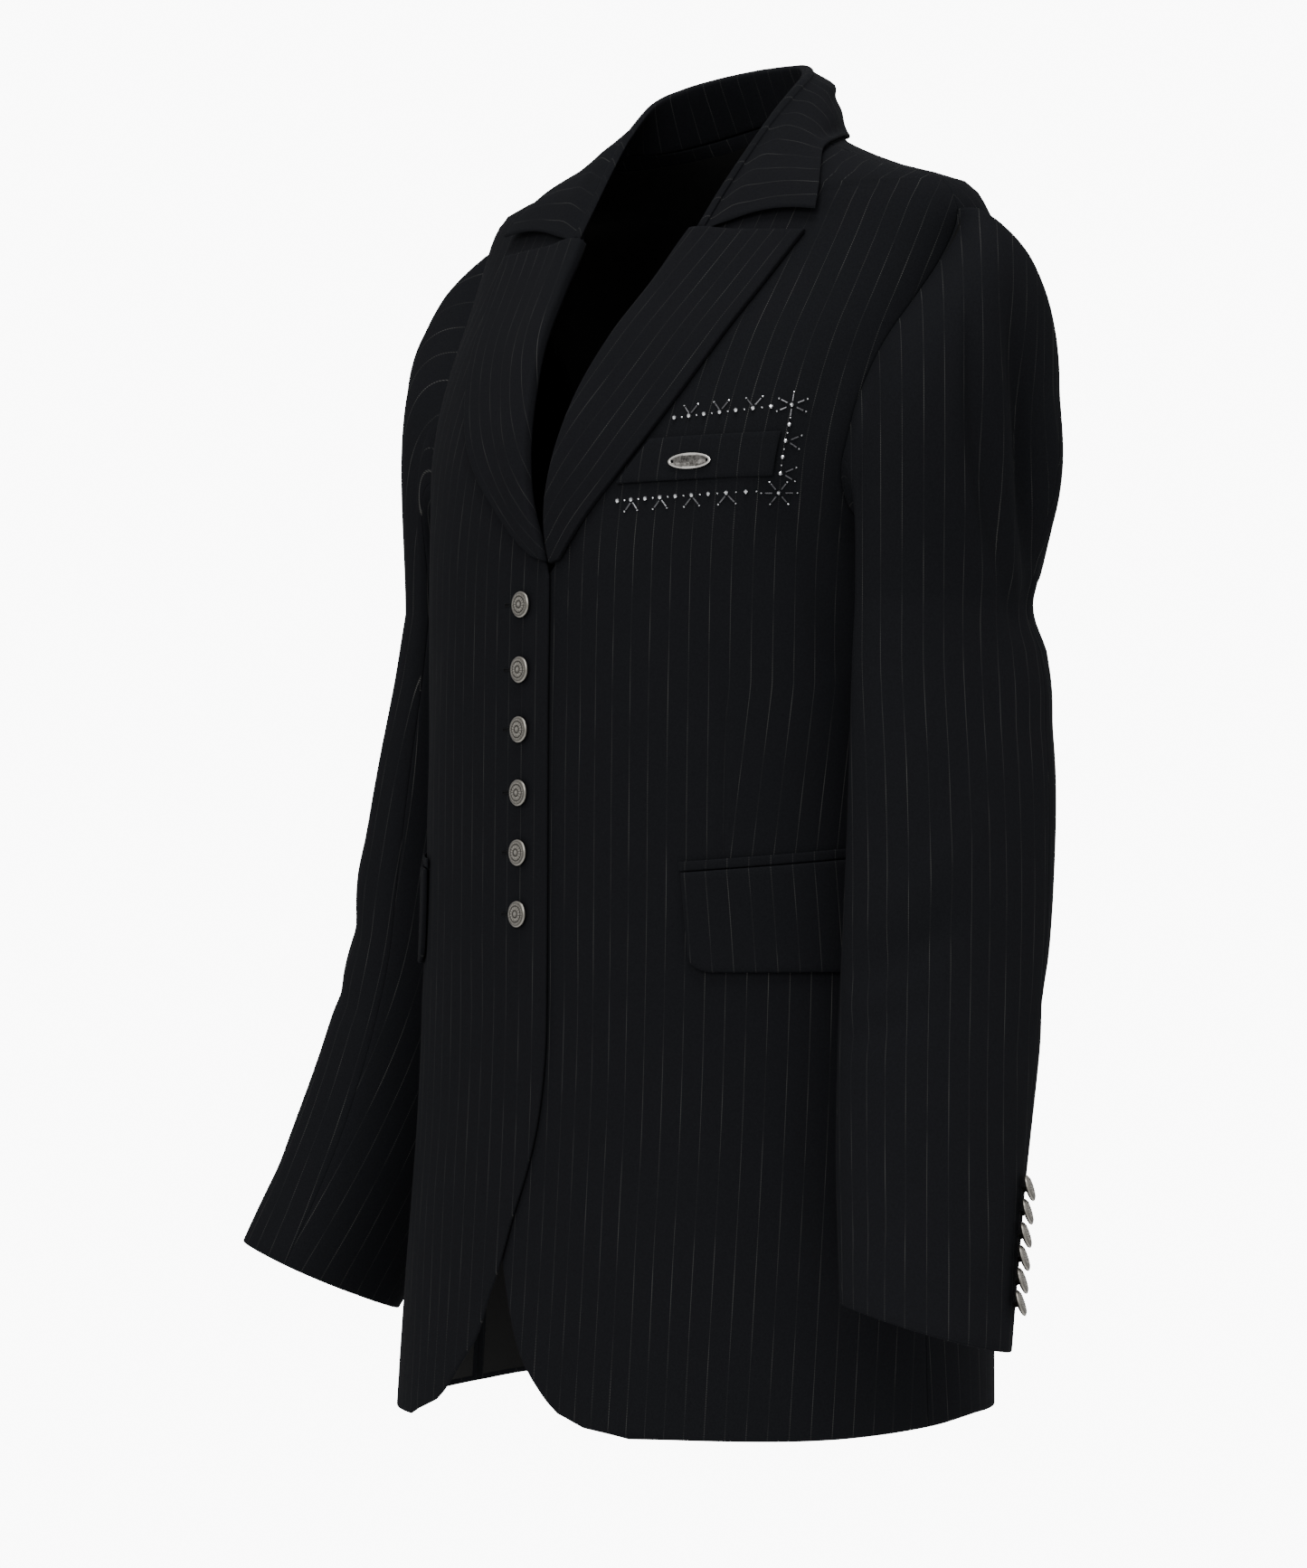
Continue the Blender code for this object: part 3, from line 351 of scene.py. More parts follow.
def neckPoint(place):
    # Foot of the collar stand, just off the panels' neck edge: its neck side and its cloth side.
    point, normal = neckEdge(place)
    step = 2.0 if place > 89 else 0.2
    low = max(place - step, 90.0) if place > 89 else place - step
    high = min(place + step, 180.0) if place > 89 else place + step
    along = neckEdge(high)[0] - neckEdge(low)[0]
    if place > 179:
        along = np.array((-1.0, 0.0, 0.0))
    away = unit(np.cross(normal, unit(along)))
    if (place > 89 and away[2] < 0) or (place < 89 and away[0] > 0):
        away = -away
    return point - normal * 0.21 + away * 0.07, point + normal * 0.05 + away * 0.07


def collarSection(row):
    fold = np.array(row[1:4])
    edge = np.array(row[4:7])
    footIn, footOut = neckPoint(row[0])
    out = unit(np.array((edge[0] - fold[0], edge[1] - fold[1], 0.0)))
    up = np.array((0.0, 0.0, 1.0))
    radius = 0.38
    outer = [footIn]
    inner = [footOut]
    stand = fold - up * radius
    outer.append(footIn * 0.5 + stand * 0.5)
    inner.append(footOut * 0.5 + (stand + out * wallCollar) * 0.5)
    for turn in (0, 45, 90, 135, 170):
        a = math.radians(turn)
        centre = fold + out * radius - up * radius
        spoke = -out * math.cos(a) + up * math.sin(a)
        outer.append(centre + spoke * radius)
        inner.append(centre + spoke * (radius - wallCollar))
    start = outer[-1]
    startIn = inner[-1]
    drop = edge - start
    lean = unit(np.array((drop[0], drop[1], 0.0)))
    normal = unit(np.cross(np.cross(lean, up), drop))
    if normal[2] < 0:
        normal = -normal
    steps = (0.2, 0.4, 0.6, 0.8, 1.0)
    for f in steps:
        belly = normal * (0.55 * math.sin(math.pi * f) ** 0.9)
        p = pushedOut(start + drop * f + belly, collarGap + wallCollar)
        outer.append(p)
    count = len(steps)
    for at in range(count):
        here = outer[at - count]
        before = outer[at - count - 1]
        after = outer[at - count + 1] if at < count - 1 else here + (here - before)
        direction = unit(after - before)
        side = unit(np.cross(np.cross(lean, up), direction))
        if side[2] < 0 or (abs(side[2]) < 0.2 and np.dot(side, out) < 0):
            side = -side
        inner.append(pushedOut(here - side * wallCollar, collarGap))
    return outer, inner


def collarPlaces():
    # Sections of half the collar, with their feet at the ends of the panels' columns and rows.
    keyed = [(i, *row[1:]) for i, row in enumerate(collarRows)]
    places = [(180.0 - 9.0 * i, 0.45 * i) for i in range(10)]
    places += [(90.0, 4.5), (-0.5, 4.75), (-1.2, 5.0), (-2.4, 6.0), (-3.6, 7.0), (-4.75, 8.0), (-5.05, 9.0)]
    return [(place, *smoothRows(keyed, key)) for place, key in places]


def armholePoint(z, side, shrink):
    # Point and normal of the body on the armhole at one of the panels' rows; the foot and the top move
    # towards the middle of the hole by the gap, the sides by the same amount.
    front, back = armholeAngles(z)
    edge = front if side > 0 else back
    z = min(max(z, armholeFoot + shrink), armholeTop - shrink)
    angle = edge
    if abs(edge - 90) > 0.5:
        angle = edge - gapAngle(z, shrink * 1.3) * (1 if edge > 90 else -1)
    return bodyAt(angle, z), bodyNormal(angle, z)


def sleeveReach(turn, outer, inner, front, back):
    # Place on a sleeve's ring from its middle: rounder outside than inside.
    c, s = squared(turn, 2.15 if math.cos(math.radians(turn)) > 0 else 2.5)
    return (outer if c > 0 else inner) * c, -(front if s > 0 else back) * s


def sleeveRing(turn, z, side):
    cx, cy, outer, inner, front, back, slopeX, slopeY = smoothRows(sleeveRings, z)
    if side > 0:
        share = 1 - ease(sleeveRings[-1][0], leftCuff[2], z)
        slopeX += (leftCuff[0] - slopeX) * share
        slopeY += (leftCuff[1] - slopeY) * share
    dx, dy = sleeveReach(turn, outer, inner, front, back)
    return np.array((cx + dx, cy + dy, z + slopeX * dx + slopeY * dy))


def foldAt(turn, z):
    total = 0.0
    for height, angle, reach, width, drift, depth in sleeveFolds:
        along = (z - height) / reach
        if abs(along) >= 1:
            continue
        middle = angle + drift * (z - height)
        off = ((turn - middle + 180) % 360 - 180) / width
        total += depth * (1 - along * along) ** 2 * math.exp(-off * off)
    return total


def sleeveTurn(column, row):
    # Angle round the sleeve of a column, which drifts from its place on the armhole to the cuff's.
    return column[2] + (column[3] - column[2]) * ease(0.0, sleeveCapRows, row)


def sleevePoint(column, row, side):
    # Rows up to sleeveCapRows curve from the armhole to the first ring, the rest go down the rings.
    turn = sleeveTurn(column, row)
    if row >= sleeveCapRows:
        f = (row - sleeveCapRows) / sleeveRingRows
        return sleeveRing(turn, firstRing + (sleeveRings[-1][0] - firstRing) * f, side)
    f = row / sleeveCapRows
    start = column[0]
    end = sleeveRing(turn, firstRing, side)
    c = math.cos(math.radians(column[2]))
    s = math.sin(math.radians(column[2]))
    top = max(c, 0.0)
    foot = max(-c, 0.0)
    side = abs(s)
    leave = np.array((
        25.0 * top + 7.0 * side + 2.0 * foot,
        -s * 5.0 - s * top * 12.0,
        2.5 * top - 1.0 * side + 5.0 * foot,
    ))
    arrive = np.array((0.0, 0.0, -(20.0 * top + 12.0 * side + 5.0 * foot)))
    return (
        (2 * f**3 - 3 * f**2 + 1) * start
        + (f**3 - 2 * f**2 + f) * leave
        + (3 * f**2 - 2 * f**3) * end
        + (f**3 - f**2) * arrive
    )


def turnedLike(column, other):
    # The same column with its angles counted from the other's side of the sleeve.
    turn = column[2] + 360 * round((other[2] - column[2]) / 360)
    cuff = column[3] + 360 * round((other[3] - column[3]) / 360)
    return column[0], column[1], turn, cuff


def pinched(columns, gap):
    # Draws the first and last columns in by half the gap, so that the two pieces stay apart.
    ends = []
    for at, towards in ((0, 1), (-1, -2)):
        place, normal, turn, cuff = columns[at]
        step = columns[towards][0] - place
        place = place + unit(step) * sleeveGap / 2
        sign = 1 if at == 0 else -1
        ends.append((place, normal, turn + sign * gap, cuff + sign * gap))
    return [ends[0]] + columns[1:-1] + [ends[1]]


def arcTable(point, levels, turns):
    # Length along each level of a surface, counted from turn 0.
    rows = []
    for z in levels:
        line = np.array([point(t, z) for t in turns])
        steps = np.linalg.norm(np.diff(line, axis=0), axis=1)
        length = np.concatenate(([0.0], np.cumsum(steps)))
        rows.append(length - np.interp(0.0, turns, length))
    return np.array(rows)


def arcAt(table, levels, turns, z, turn):
    i = np.clip((z - levels[0]) / (levels[1] - levels[0]), 0, len(levels) - 1.001)
    j = np.clip((turn - turns[0]) / (turns[1] - turns[0]), 0, len(turns) - 1.001)
    a = i.astype(int)
    b = j.astype(int)
    f = i - a
    g = j - b
    low = table[a, b] * (1 - g) + table[a, b + 1] * g
    high = table[a + 1, b] * (1 - g) + table[a + 1, b + 1] * g
    return low * (1 - f) + high * f


def downArc(points):
    # Length down each column of a grid, counted from its first row.
    steps = np.linalg.norm(np.diff(points, axis=0), axis=2)
    return np.concatenate((np.zeros((1, points.shape[1])), np.cumsum(steps, axis=0)))


def acrossArc(points):
    return downArc(points.transpose(1, 0, 2)).T


def gridNormals(points):
    across = np.gradient(points, axis=1)
    along = np.gradient(points, axis=0)
    normal = np.cross(across, along)
    return normal / np.maximum(np.linalg.norm(normal, axis=2, keepdims=True), 1e-9)


def spacedRows(rows, cell):
    # Values between those of a table, about one cell apart.
    found = []
    for a, b in zip(rows, rows[1:]):
        count = max(1, round(abs(b - a) / cell))
        found += [a + (b - a) * k / count for k in range(count)]
    return found + [rows[-1]]


def refined(grid, rowSteps, columnSteps):
    # Smooth curves through the points of a grid, first down its columns, then along its rows.
    for steps in (rowSteps, columnSteps):
        padded = np.concatenate((2 * grid[:1] - grid[1:2], grid, 2 * grid[-1:] - grid[-2:-1]))
        lines = []
        for i in range(len(grid) - 1):
            a, b, c, d = padded[i : i + 4]
            for k in range(steps):
                t = k / steps
                lines.append(
                    b
                    + 0.5 * t * (c - a + t * (2 * a - 5 * b + 4 * c - d + t * (3 * (b - c) + d - a)))
                )
        lines.append(grid[-1])
        grid = np.array(lines).transpose(1, 0, 2)
    return grid


def creased(creases, across, down):
    # Rise of listed folds: each runs from one end to the other, with its bow to one side.
    rise = np.zeros(across.shape)
    for x0, z0, x1, z1, width, depth, bow in creases:
        dx = x1 - x0
        dz = z1 - z0
        length = math.hypot(dx, dz)
        t = ((across - x0) * dx + (down - z0) * dz) / length**2
        off = ((across - x0) * dz - (down - z0) * dx) / length
        inside = np.clip(4 * t * (1 - t), 0, 1)
        off = off - bow * inside
        rise += depth * inside**0.8 * np.exp(-((off / width) ** 2))
    return rise


def seamFade(points, first, last):
    # Folds die away towards the two long sides of a panel, within these lengths.
    across = acrossArc(points)
    return ease(0, 1, np.clip(across / first, 0, 1) * np.clip((across[:, -1:] - across) / last, 0, 1))


def withEdges(grid, radius):
    # Extra lines close to the four edges of a grid, so that its rim can turn over in a half round.
    for turn in range(2):
        for end in range(2):
            first = grid[0]
            step = grid[1] - first
            length = np.linalg.norm(step[:, :3], axis=1)[:, None]
            extra = [first + step * np.minimum(radius * t / length, 0.3 * t) for t in (0.08, 0.35, 1.0)]
            grid = np.concatenate((grid[:1], np.array(extra), grid[1:]))[::-1]
        grid = grid.transpose(1, 0, 2)
    return grid


def edgeDrop(points, radius):
    # How far the rim has turned over: one half on the very edge, nothing beyond the radius.
    down = downArc(points)
    along = acrossArc(points)
    near = np.minimum(np.minimum(down, down[-1:] - down), np.minimum(along, along[:, -1:] - along))
    f = np.clip(1 - near / radius, 0, 1)
    return 0.5 * (1 - np.sqrt(1 - f * f))


def clothPiece(name, grid, side, materials, held="hung"):
    # Grid columns: x y z of the outer face, its normal, wall, u and v on the cloth.
    if side < 0:
        grid = grid[:, ::-1] * np.array((-1, 1, 1, -1, 1, 1, 1, -1, 1))
    radius = float(grid[0, 0, 6]) / 2
    grid = withEdges(grid, radius)
    outer = grid[..., :3]
    normal = grid[..., 3:6] / np.linalg.norm(grid[..., 3:6], axis=2, keepdims=True)
    wall = grid[..., 6:7]
    drop = edgeDrop(outer, radius)[..., None]
    skin = outer - normal * wall * drop
    back = outer - normal * wall * (1 - drop)
    rows, columns = skin.shape[:2]
    front = np.arange(rows * columns).reshape(rows, columns)
    inner = front.copy()
    inner[1:-1, 1:-1] = rows * columns + np.arange((rows - 2) * (columns - 2)).reshape(rows - 2, -1)
    points = np.concatenate((skin.reshape(-1, 3), back[1:-1, 1:-1].reshape(-1, 3)))
    cloth = grid[..., 7:9]
    cloths = np.concatenate((cloth.reshape(-1, 2), cloth[1:-1, 1:-1].reshape(-1, 2)))
    outerFaces = np.stack((front[:-1, :-1], front[:-1, 1:], front[1:, 1:], front[1:, :-1]), -1)
    innerFaces = np.stack((inner[:-1, :-1], inner[1:, :-1], inner[1:, 1:], inner[:-1, 1:]), -1)
    faces = np.concatenate((outerFaces.reshape(-1, 4), innerFaces.reshape(-1, 4)))
    mesh = bpy.data.meshes.new(name)
    mesh.from_pydata((points * cm).tolist(), [], faces.tolist())
    layer = mesh.uv_layers.new(name="cloth")
    layer.data.foreach_set("uv", (cloths[faces.ravel()] * cm).ravel())
    for material in materials:
        mesh.materials.append(material)
    half = len(faces) // 2
    inside = np.zeros(len(faces), int)
    inside[half:] = len(materials) - 1
    rim = np.zeros((rows - 1, columns - 1), bool)
    rim[:4] = rim[-4:] = True
    rim[:, :4] = rim[:, -4:] = True
    inside[half:][rim.ravel()] = 0
    mesh.polygons.foreach_set("material_index", inside)
    mesh.shade_smooth()
    mesh.update()
    piece = bpy.data.objects.new("cloth_" + name, mesh)
    bpy.context.scene.collection.objects.link(piece)
    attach(piece, "root")
    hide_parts(name)
    if held is None:
        return piece
    width = float(acrossArc(outer)[:, -1].max()) * cm
    return piece


def assembled(points, normals, wall, u, v, rise=None):
    if rise is not None:
        points = points + normals * rise[..., None]
        normals = gridNormals(points)
    wall = np.broadcast_to(np.asarray(wall, float), points.shape[:2])
    return np.concatenate((points, normals, wall[..., None], u[..., None], v[..., None]), 2)


bodyLevels = np.linspace(-75.0, 2.6, 98)
bodyTurns = np.arange(-42.0, 183.0, 3.0)
bodyArc = arcTable(bodyAt, bodyLevels, bodyTurns)

frontLook = {
    "cell": 0.6,  # cm between the points of the grid
    "dartTop": -31.5,  # cm, where the dart begins under the chest
    "dartLow": -41.6,  # cm, where it runs into the pocket
    "dartX": 13.4,  # cm from the centre
    "dartIntake": 1.1,  # cm of cloth taken up by the dart
    "dartDepth": 0.07,  # cm
}
# Folds of a front: start and end as length from the centre and height, then width, rise and bow, all cm.
frontCreases = {
    "left": (
        (20.0, -12.0, 16.5, -27.0, 1.6, -0.16, 0.8),
        (18.2, -10.0, 13.0, -30.0, 1.8, 0.12, 1.0),
        (9.0, -24.0, 15.0, -37.0, 2.2, -0.10, -0.6),
        (3.0, -45.0, 12.0, -62.0, 2.4, -0.12, 0.8),
        (6.0, -48.0, 14.0, -71.0, 2.6, 0.12, 0.6),
        (15.0, -49.0, 19.0, -70.0, 2.0, -0.14, 0.5),
        (2.4, -26.0, 5.5, -36.0, 1.2, -0.06, 0.3),
        (16.6, -20.0, 21.0, -31.0, 1.4, -0.34, -0.5),
    ),
    "right": (
        (19.6, -13.0, 17.0, -26.0, 1.5, -0.15, 0.6),
        (17.6, -11.0, 12.4, -29.0, 1.7, 0.12, 0.8),
        (8.0, -25.0, 14.4, -38.5, 2.0, -0.11, -0.5),
        (2.4, -46.5, 10.5, -60.0, 2.2, -0.11, 0.6),
        (5.2, -50.0, 13.0, -70.0, 2.4, 0.11, 0.5),
        (14.4, -50.0, 18.6, -69.0, 1.9, -0.13, 0.4),
    ),
}


def trunkArc(heights, turns):
    return arcAt(bodyArc, bodyLevels, bodyTurns, heights, turns)


def frontGrid(edge, sink, creases):
    look = frontLook
    first = np.concatenate((np.linspace(0, 0.985, 34), (0.992, 1.0)))
    second = 1 + np.concatenate(((0.008, 0.016), np.linspace(0.03, 1, 30)))
    places = np.concatenate((first, second))
    points = []
    turns = []
    for z in spacedRows(panelRows, look["cell"]):
        start = angleAtX(smoothRows(edge, z)[0], z)
        end = armholeAngles(z)[0] - gapAngle(z, seamGap / 2)
        start = min(start, end - 1.0)
        middle = start + (end - start) * 0.56
        if z < -3.0:
            middle = min(max(angleAtX(look["dartX"], z), start + 3.0), end - 3.0)
        row = [start + (middle - start) * min(f, 1) + (end - middle) * max(f - 1, 0) for f in places]
        heights = [rowHeight(z, a) for a in row]
        points.append([lifted(a, h, 0.0, sink) for a, h in zip(row, heights)])
        turns.append(row)
    points = np.array(points)
    turns = np.array(turns)
    heights = points[..., 2]
    u = trunkArc(heights, turns)
    v = downArc(points)
    down = np.clip((look["dartTop"] - heights) / (look["dartTop"] - look["dartLow"]), 0, 1)
    down = down * np.clip((heights + 47.4) / 5.0, 0, 1)
    dartLine = places[None, :] - 1.0
    off = dartLine * (u[:, -1:] - u[:, len(first) - 1 : len(first)])
    rise = creased(creases, u, heights) - look["dartDepth"] * np.exp(-((off / 0.14) ** 2)) * (down > 0.02)
    rise = rise * np.clip(-(heights + 3.0) / 4.0, 0, 1) * seamFade(points, 1.0, 2.4)
    cloth = u + look["dartIntake"] * down * (dartLine > -0.004)
    return assembled(points, gridNormals(points), wallBody, cloth, v, rise)


backCreases = {
    "left": (
        (14.0, -14.0, 15.5, -32.0, 1.8, -0.18, 0.7),
        (9.5, -20.0, 12.5, -40.0, 2.4, 0.12, -0.6),
        (3.0, -30.0, 10.0, -41.0, 2.0, -0.12, 0.5),
        (6.0, -46.0, 10.0, -70.0, 2.8, -0.16, 0.9),
        (12.0, -45.0, 16.0, -69.0, 2.6, 0.14, -0.6),
    ),
    "right": (
        (13.6, -15.0, 15.9, -31.0, 1.7, -0.17, 0.6),
        (9.0, -22.0, 12.9, -38.0, 2.2, 0.12, -0.5),
        (2.6, -31.5, 9.0, -43.0, 2.1, -0.11, 0.4),
        (6.6, -47.5, 9.6, -71.0, 2.7, -0.15, 0.7),
        (12.6, -46.0, 15.4, -67.0, 2.5, 0.13, -0.6),
    ),
}


def backGrid(creases):
    points = []
    turns = []
    for z in spacedRows(panelRows, 0.6):
        start = armholeAngles(z)[1] + gapAngle(z, seamGap / 2)
        row = np.linspace(start, 180.0 - gapAngle(z, seamGap / 2), 52)
        points.append([bodyAt(a, rowHeight(z, a, neckLift)) for a in row])
        turns.append(row)
    points = np.array(points)
    turns = np.array(turns)
    heights = points[..., 2]
    whole = trunkArc(heights, np.full(turns.shape, 180.0))
    u = whole - trunkArc(heights, turns)
    rise = creased(creases, u, heights) * np.clip(-(heights + 3.0) / 5.0, 0, 1) * seamFade(points, 2.4, 2.4)
    return assembled(points, gridNormals(points), wallBody, 0.6 - u, downArc(points), rise)


def sleeveColumns(points, first, last, fine):
    # Columns of a sleeve piece: place on the armhole, normal there, angle there and angle at the cuff.
    middle = (armholeTop + armholeFoot) / 2
    half = (armholeTop - armholeFoot) / 2

    def turnOf(z, side):
        return side * math.degrees(math.acos(min(max((z - middle) / half, -1.0), 1.0)))

    total = sum(count for z, side, count in points[:-1])
    columns = []
    at = 0
    turn = turnOf(points[0][0], points[0][1])
    for (z, side, count), (nextZ, nextSide, _) in zip(points, points[1:]):
        rise = turnOf(nextZ, nextSide) - turnOf(z, side)
        rise -= 360 * round(rise / 360)
        for step in range(count * fine):
            f = step / (count * fine)
            which = nextSide if z in (armholeTop, armholeFoot) else side
            place, normal = armholePoint(z + (nextZ - z) * f, which, seamGap)
            cuff = first + (last - first) * (at + f * count) / total
            columns.append((place, normal, turn + rise * f, cuff))
        at += count
        turn += rise
    place, normal = armholePoint(points[-1][0], points[-1][1], seamGap)
    columns.append((place, normal, turn, last))
    return columns


sleeveLevels = np.linspace(-74.0, -3.0, 72)
sleeveTurns = np.arange(-400.0, 405.0, 5.0)


def capRing(turn, z):
    # The sleeve's ring, widened inwards above the first one so that it spans the cap.
    ring = smoothRows(sleeveRings, min(z, firstRing))
    grow = 6.0 * ease(firstRing, -14.0, z)
    return np.array((*sleeveReach(turn, ring[2] + grow, *ring[3:6]), 0.0))


sleeveArc = arcTable(capRing, sleeveLevels, sleeveTurns)

# Folds of a sleeve: start and end as length round it from its middle line (front positive) and height.
sleeveCreases = {
    "left": (
        (6.6, -8.0, -0.8, -30.0, 0.8, 0.20, -0.8),
        (5.0, -9.0, -2.6, -29.5, 0.6, -0.34, -0.8),
        (-3.0, -24.0, -10.0, -30.0, 0.9, -0.28, 0.5),
        (2.5, -44.0, 10.0, -48.0, 1.1, -0.22, 0.5),
        (4.0, -49.0, 11.0, -51.0, 1.0, -0.20, 0.4),
        (1.0, -38.0, 9.0, -45.5, 1.3, 0.14, 0.5),
        (-1.0, -53.0, -9.0, -47.0, 1.3, -0.18, 0.6),
        (3.0, -56.0, 8.0, -63.0, 1.4, -0.12, 0.4),
        (-2.0, -57.0, 2.0, -65.0, 1.5, 0.12, 0.4),
    ),
    "right": (
        (6.4, -8.5, -1.0, -29.0, 0.9, 0.20, -0.7),
        (4.6, -10.0, -2.4, -28.6, 0.6, -0.32, -0.7),
        (-3.4, -23.0, -9.4, -30.5, 1.0, -0.26, 0.5),
        (2.0, -43.0, 9.4, -46.8, 1.1, -0.22, 0.4),
        (3.4, -48.4, 10.4, -50.6, 0.9, -0.18, 0.4),
        (1.4, -37.4, 8.6, -44.0, 1.2, 0.13, 0.4),
        (-1.4, -52.0, -8.4, -46.4, 1.2, -0.17, 0.5),
        (2.6, -57.0, 7.4, -62.4, 1.3, -0.11, 0.4),
    ),
}


def sleeveBase(points, others, first, last, side):
    # Points and angles of a sleeve piece, with one more column of the other piece at each end.
    gap = -math.degrees(sleeveGap / 2 / 5.0)
    columns = sleeveColumns(points, first, last, 4)
    ghosts = sleeveColumns(others, last, first - 360, 4)
    before = turnedLike(ghosts[-2], columns[0])
    after = turnedLike(ghosts[1], columns[-1])
    columns = [before] + pinched(columns, gap) + [after]
    rows = np.linspace(sleeveCapRows + sleeveRingRows, 0, (sleeveCapRows + sleeveRingRows) * 6 + 1)
    base = np.array([[sleevePoint(column, row, side) for column in columns] for row in rows])
    turns = np.array([[sleeveTurn(column, row) for column in columns] for row in rows])
    return base, np.array([column[1] for column in columns])[None], turns, rows


def roundArc(heights, turns):
    return arcAt(sleeveArc, sleeveLevels, sleeveTurns, heights, turns)


def capArc(points, lean):
    # Stripes of the cap keep to upright planes: length round the first ring by place across the view.
    ahead = math.sqrt(1 - lean * lean)
    turns = np.arange(-56.0, 113.0, 4.0)
    ring = np.array([capRing(t, firstRing) for t in turns])
    across = (ring[:, 0] * lean + ring[:, 1] * ahead)[::-1]
    length = roundArc(np.full(turns.shape, firstRing), turns)[::-1]
    rows = sorted(sleeveRings)
    middle = [np.interp(points[..., 2], [r[0] for r in rows], [r[k] for r in rows]) for k in (1, 2)]
    w = (points[..., 0] - middle[0]) * lean + (points[..., 1] - middle[1]) * ahead
    u = np.interp(w, across, length)
    return u - 1.1 * np.minimum(w - across[0], 0) - 1.1 * np.maximum(w - across[-1], 0)


def sleeveGrid(base, creases, top, side):
    points, seam, turns, rows = base
    heights = points[..., 2]
    place = roundArc(heights, turns)
    middle = np.full(turns.shape, 45.0 if top else -139.0)
    u = place - roundArc(heights, middle)
    if top:
        flat = np.full(turns.shape, firstRing)
        capped = capArc(points, 0.643 if side > 0 else 0.35) - roundArc(flat, middle)
        share = ease(-36.0, -25.0, heights)
        u = u * (1 - share) + capped * share
    fade = np.pad(seamFade(points[:, 1:-1], 1.6, 1.6), ((0, 0), (1, 1)))
    rise = np.array([[foldAt(t, z) for t, z in zip(a, b)] for a, b in zip(turns, heights)])
    rise = (rise + creased(creases, place, heights) * fade) * np.clip(rows / 3, 0, 1)[:, None]
    points = points + gridNormals(points) * rise[..., None]
    share = np.clip(1 - rows / 2, 0, 1)[:, None, None]
    normals = gridNormals(points) * (1 - share) + seam * share
    grid = assembled(points, normals, wallSleeve, u + 0.3, downArc(points))
    return grid[:, 1:-1]


def lapelGrid(edge, table, sink):
    outer = []
    inner = []
    for z in np.linspace(table[0][0], table[-1][0], 76):
        edgeX, edgeZ = smoothRows(table, z)
        row = lapelSection(edge, sink, z, edgeX, edgeZ)
        outer.append(row[0])
        inner.append(row[1])
    outer = refined(np.array(outer), 1, 4)
    inner = refined(np.array(inner), 1, 4)
    across = acrossArc(outer)
    gap = outer - inner
    wall = np.linalg.norm(gap, axis=2)
    u = across - across[:, -1:] - 0.35
    return assembled(outer, gap / wall[..., None], wall, u, downArc(outer))


def collarGrid():
    half = [collarSection(row) for row in collarPlaces()]
    mirror = np.array((-1.0, 1.0, 1.0))
    grids = []
    for k in (0, 1):
        side = [np.asarray(section[k]) for section in half]
        grids.append(refined(np.array([p * mirror for p in side[:0:-1]] + side)[::-1], 5, 4))
    gap = grids[0] - grids[1]
    wall = np.linalg.norm(gap, axis=2)
    down = downArc(grids[0])
    down = down - down[len(down) // 2]
    u = 0.4 * down + 0.6 * down[:, -14:-13]
    return assembled(grids[0], gap / wall[..., None], wall, u, acrossArc(grids[0]))


def laidGrid(rows, columns, place, rise, wall, slant):
    # What lies on a panel: place gives the angle and height of each point of the piece.
    turns = np.array([[place(f, g)[0] for g in columns] for f in rows])
    heights = np.array([[place(f, g)[1] for g in columns] for f in rows])
    points = np.array([[lifted(a, z, rise) for a, z in zip(p, q)] for p, q in zip(turns, heights)])
    u = trunkArc(heights, turns) + slant * (heights + 41.8)
    return assembled(points, gridNormals(points), wall, u, downArc(points))


def flapPlace(f, g):
    # Angle and height on a flap: f from its foot to its top, g from its front to its back.
    corner = max(0.0, abs(g - 0.5) - 0.42) / 0.08
    bottom = flapFoot + 0.9 * (1 - math.sqrt(max(0.0, 1 - corner * corner)))
    top = flapTop + flapRise * g
    return 39.0 + 56.0 * g - flapLean * f, bottom + (top - bottom) * f


def jetPlace(f, g):
    return 38.6 - flapLean + 56.4 * g, flapTop + 0.05 + flapRise * g + 0.55 * f


def weltPlace(f, g):
    top = [welt[0][k] + (welt[1][k] - welt[0][k]) * g for k in (0, 1)]
    low = [welt[0][k] + (welt[1][k] - welt[0][k]) * g for k in (2, 3)]
    z = low[1] + (top[1] - low[1]) * f
    return angleAtX(low[0] + (top[0] - low[0]) * f, z), z


def sRgb(text):
    # Screen colour as written, made linear.
    values = [int(text[k : k + 2], 16) / 255 for k in (1, 3, 5)]
    return (*[v / 12.92 if v <= 0.04045 else ((v + 0.055) / 1.055) ** 2.4 for v in values], 1.0)


def newMaterial(name, **shaderValues):
    material = bpy.data.materials.new(name)
    material.use_nodes = True
    shader = material.node_tree.nodes["Principled BSDF"]
    for key, value in shaderValues.items():
        shader.inputs[key].default_value = value
    return material


def addNode(material, kind, values=None, links=None, **settings):
    # One node: settings are its own properties, values its sockets, links (socket, node, output).
    node = material.node_tree.nodes.new(kind)
    for key, value in settings.items():
        setattr(node, key, value)
    for key, value in (values or {}).items():
        node.inputs[key].default_value = value
    for socket, source, output in links or ():
        material.node_tree.links.new(source.outputs[output], node.inputs[socket])
    return node


def setShader(material, socket, source, output):
    shader = material.node_tree.nodes["Principled BSDF"]
    material.node_tree.links.new(source.outputs[output], shader.inputs[socket])


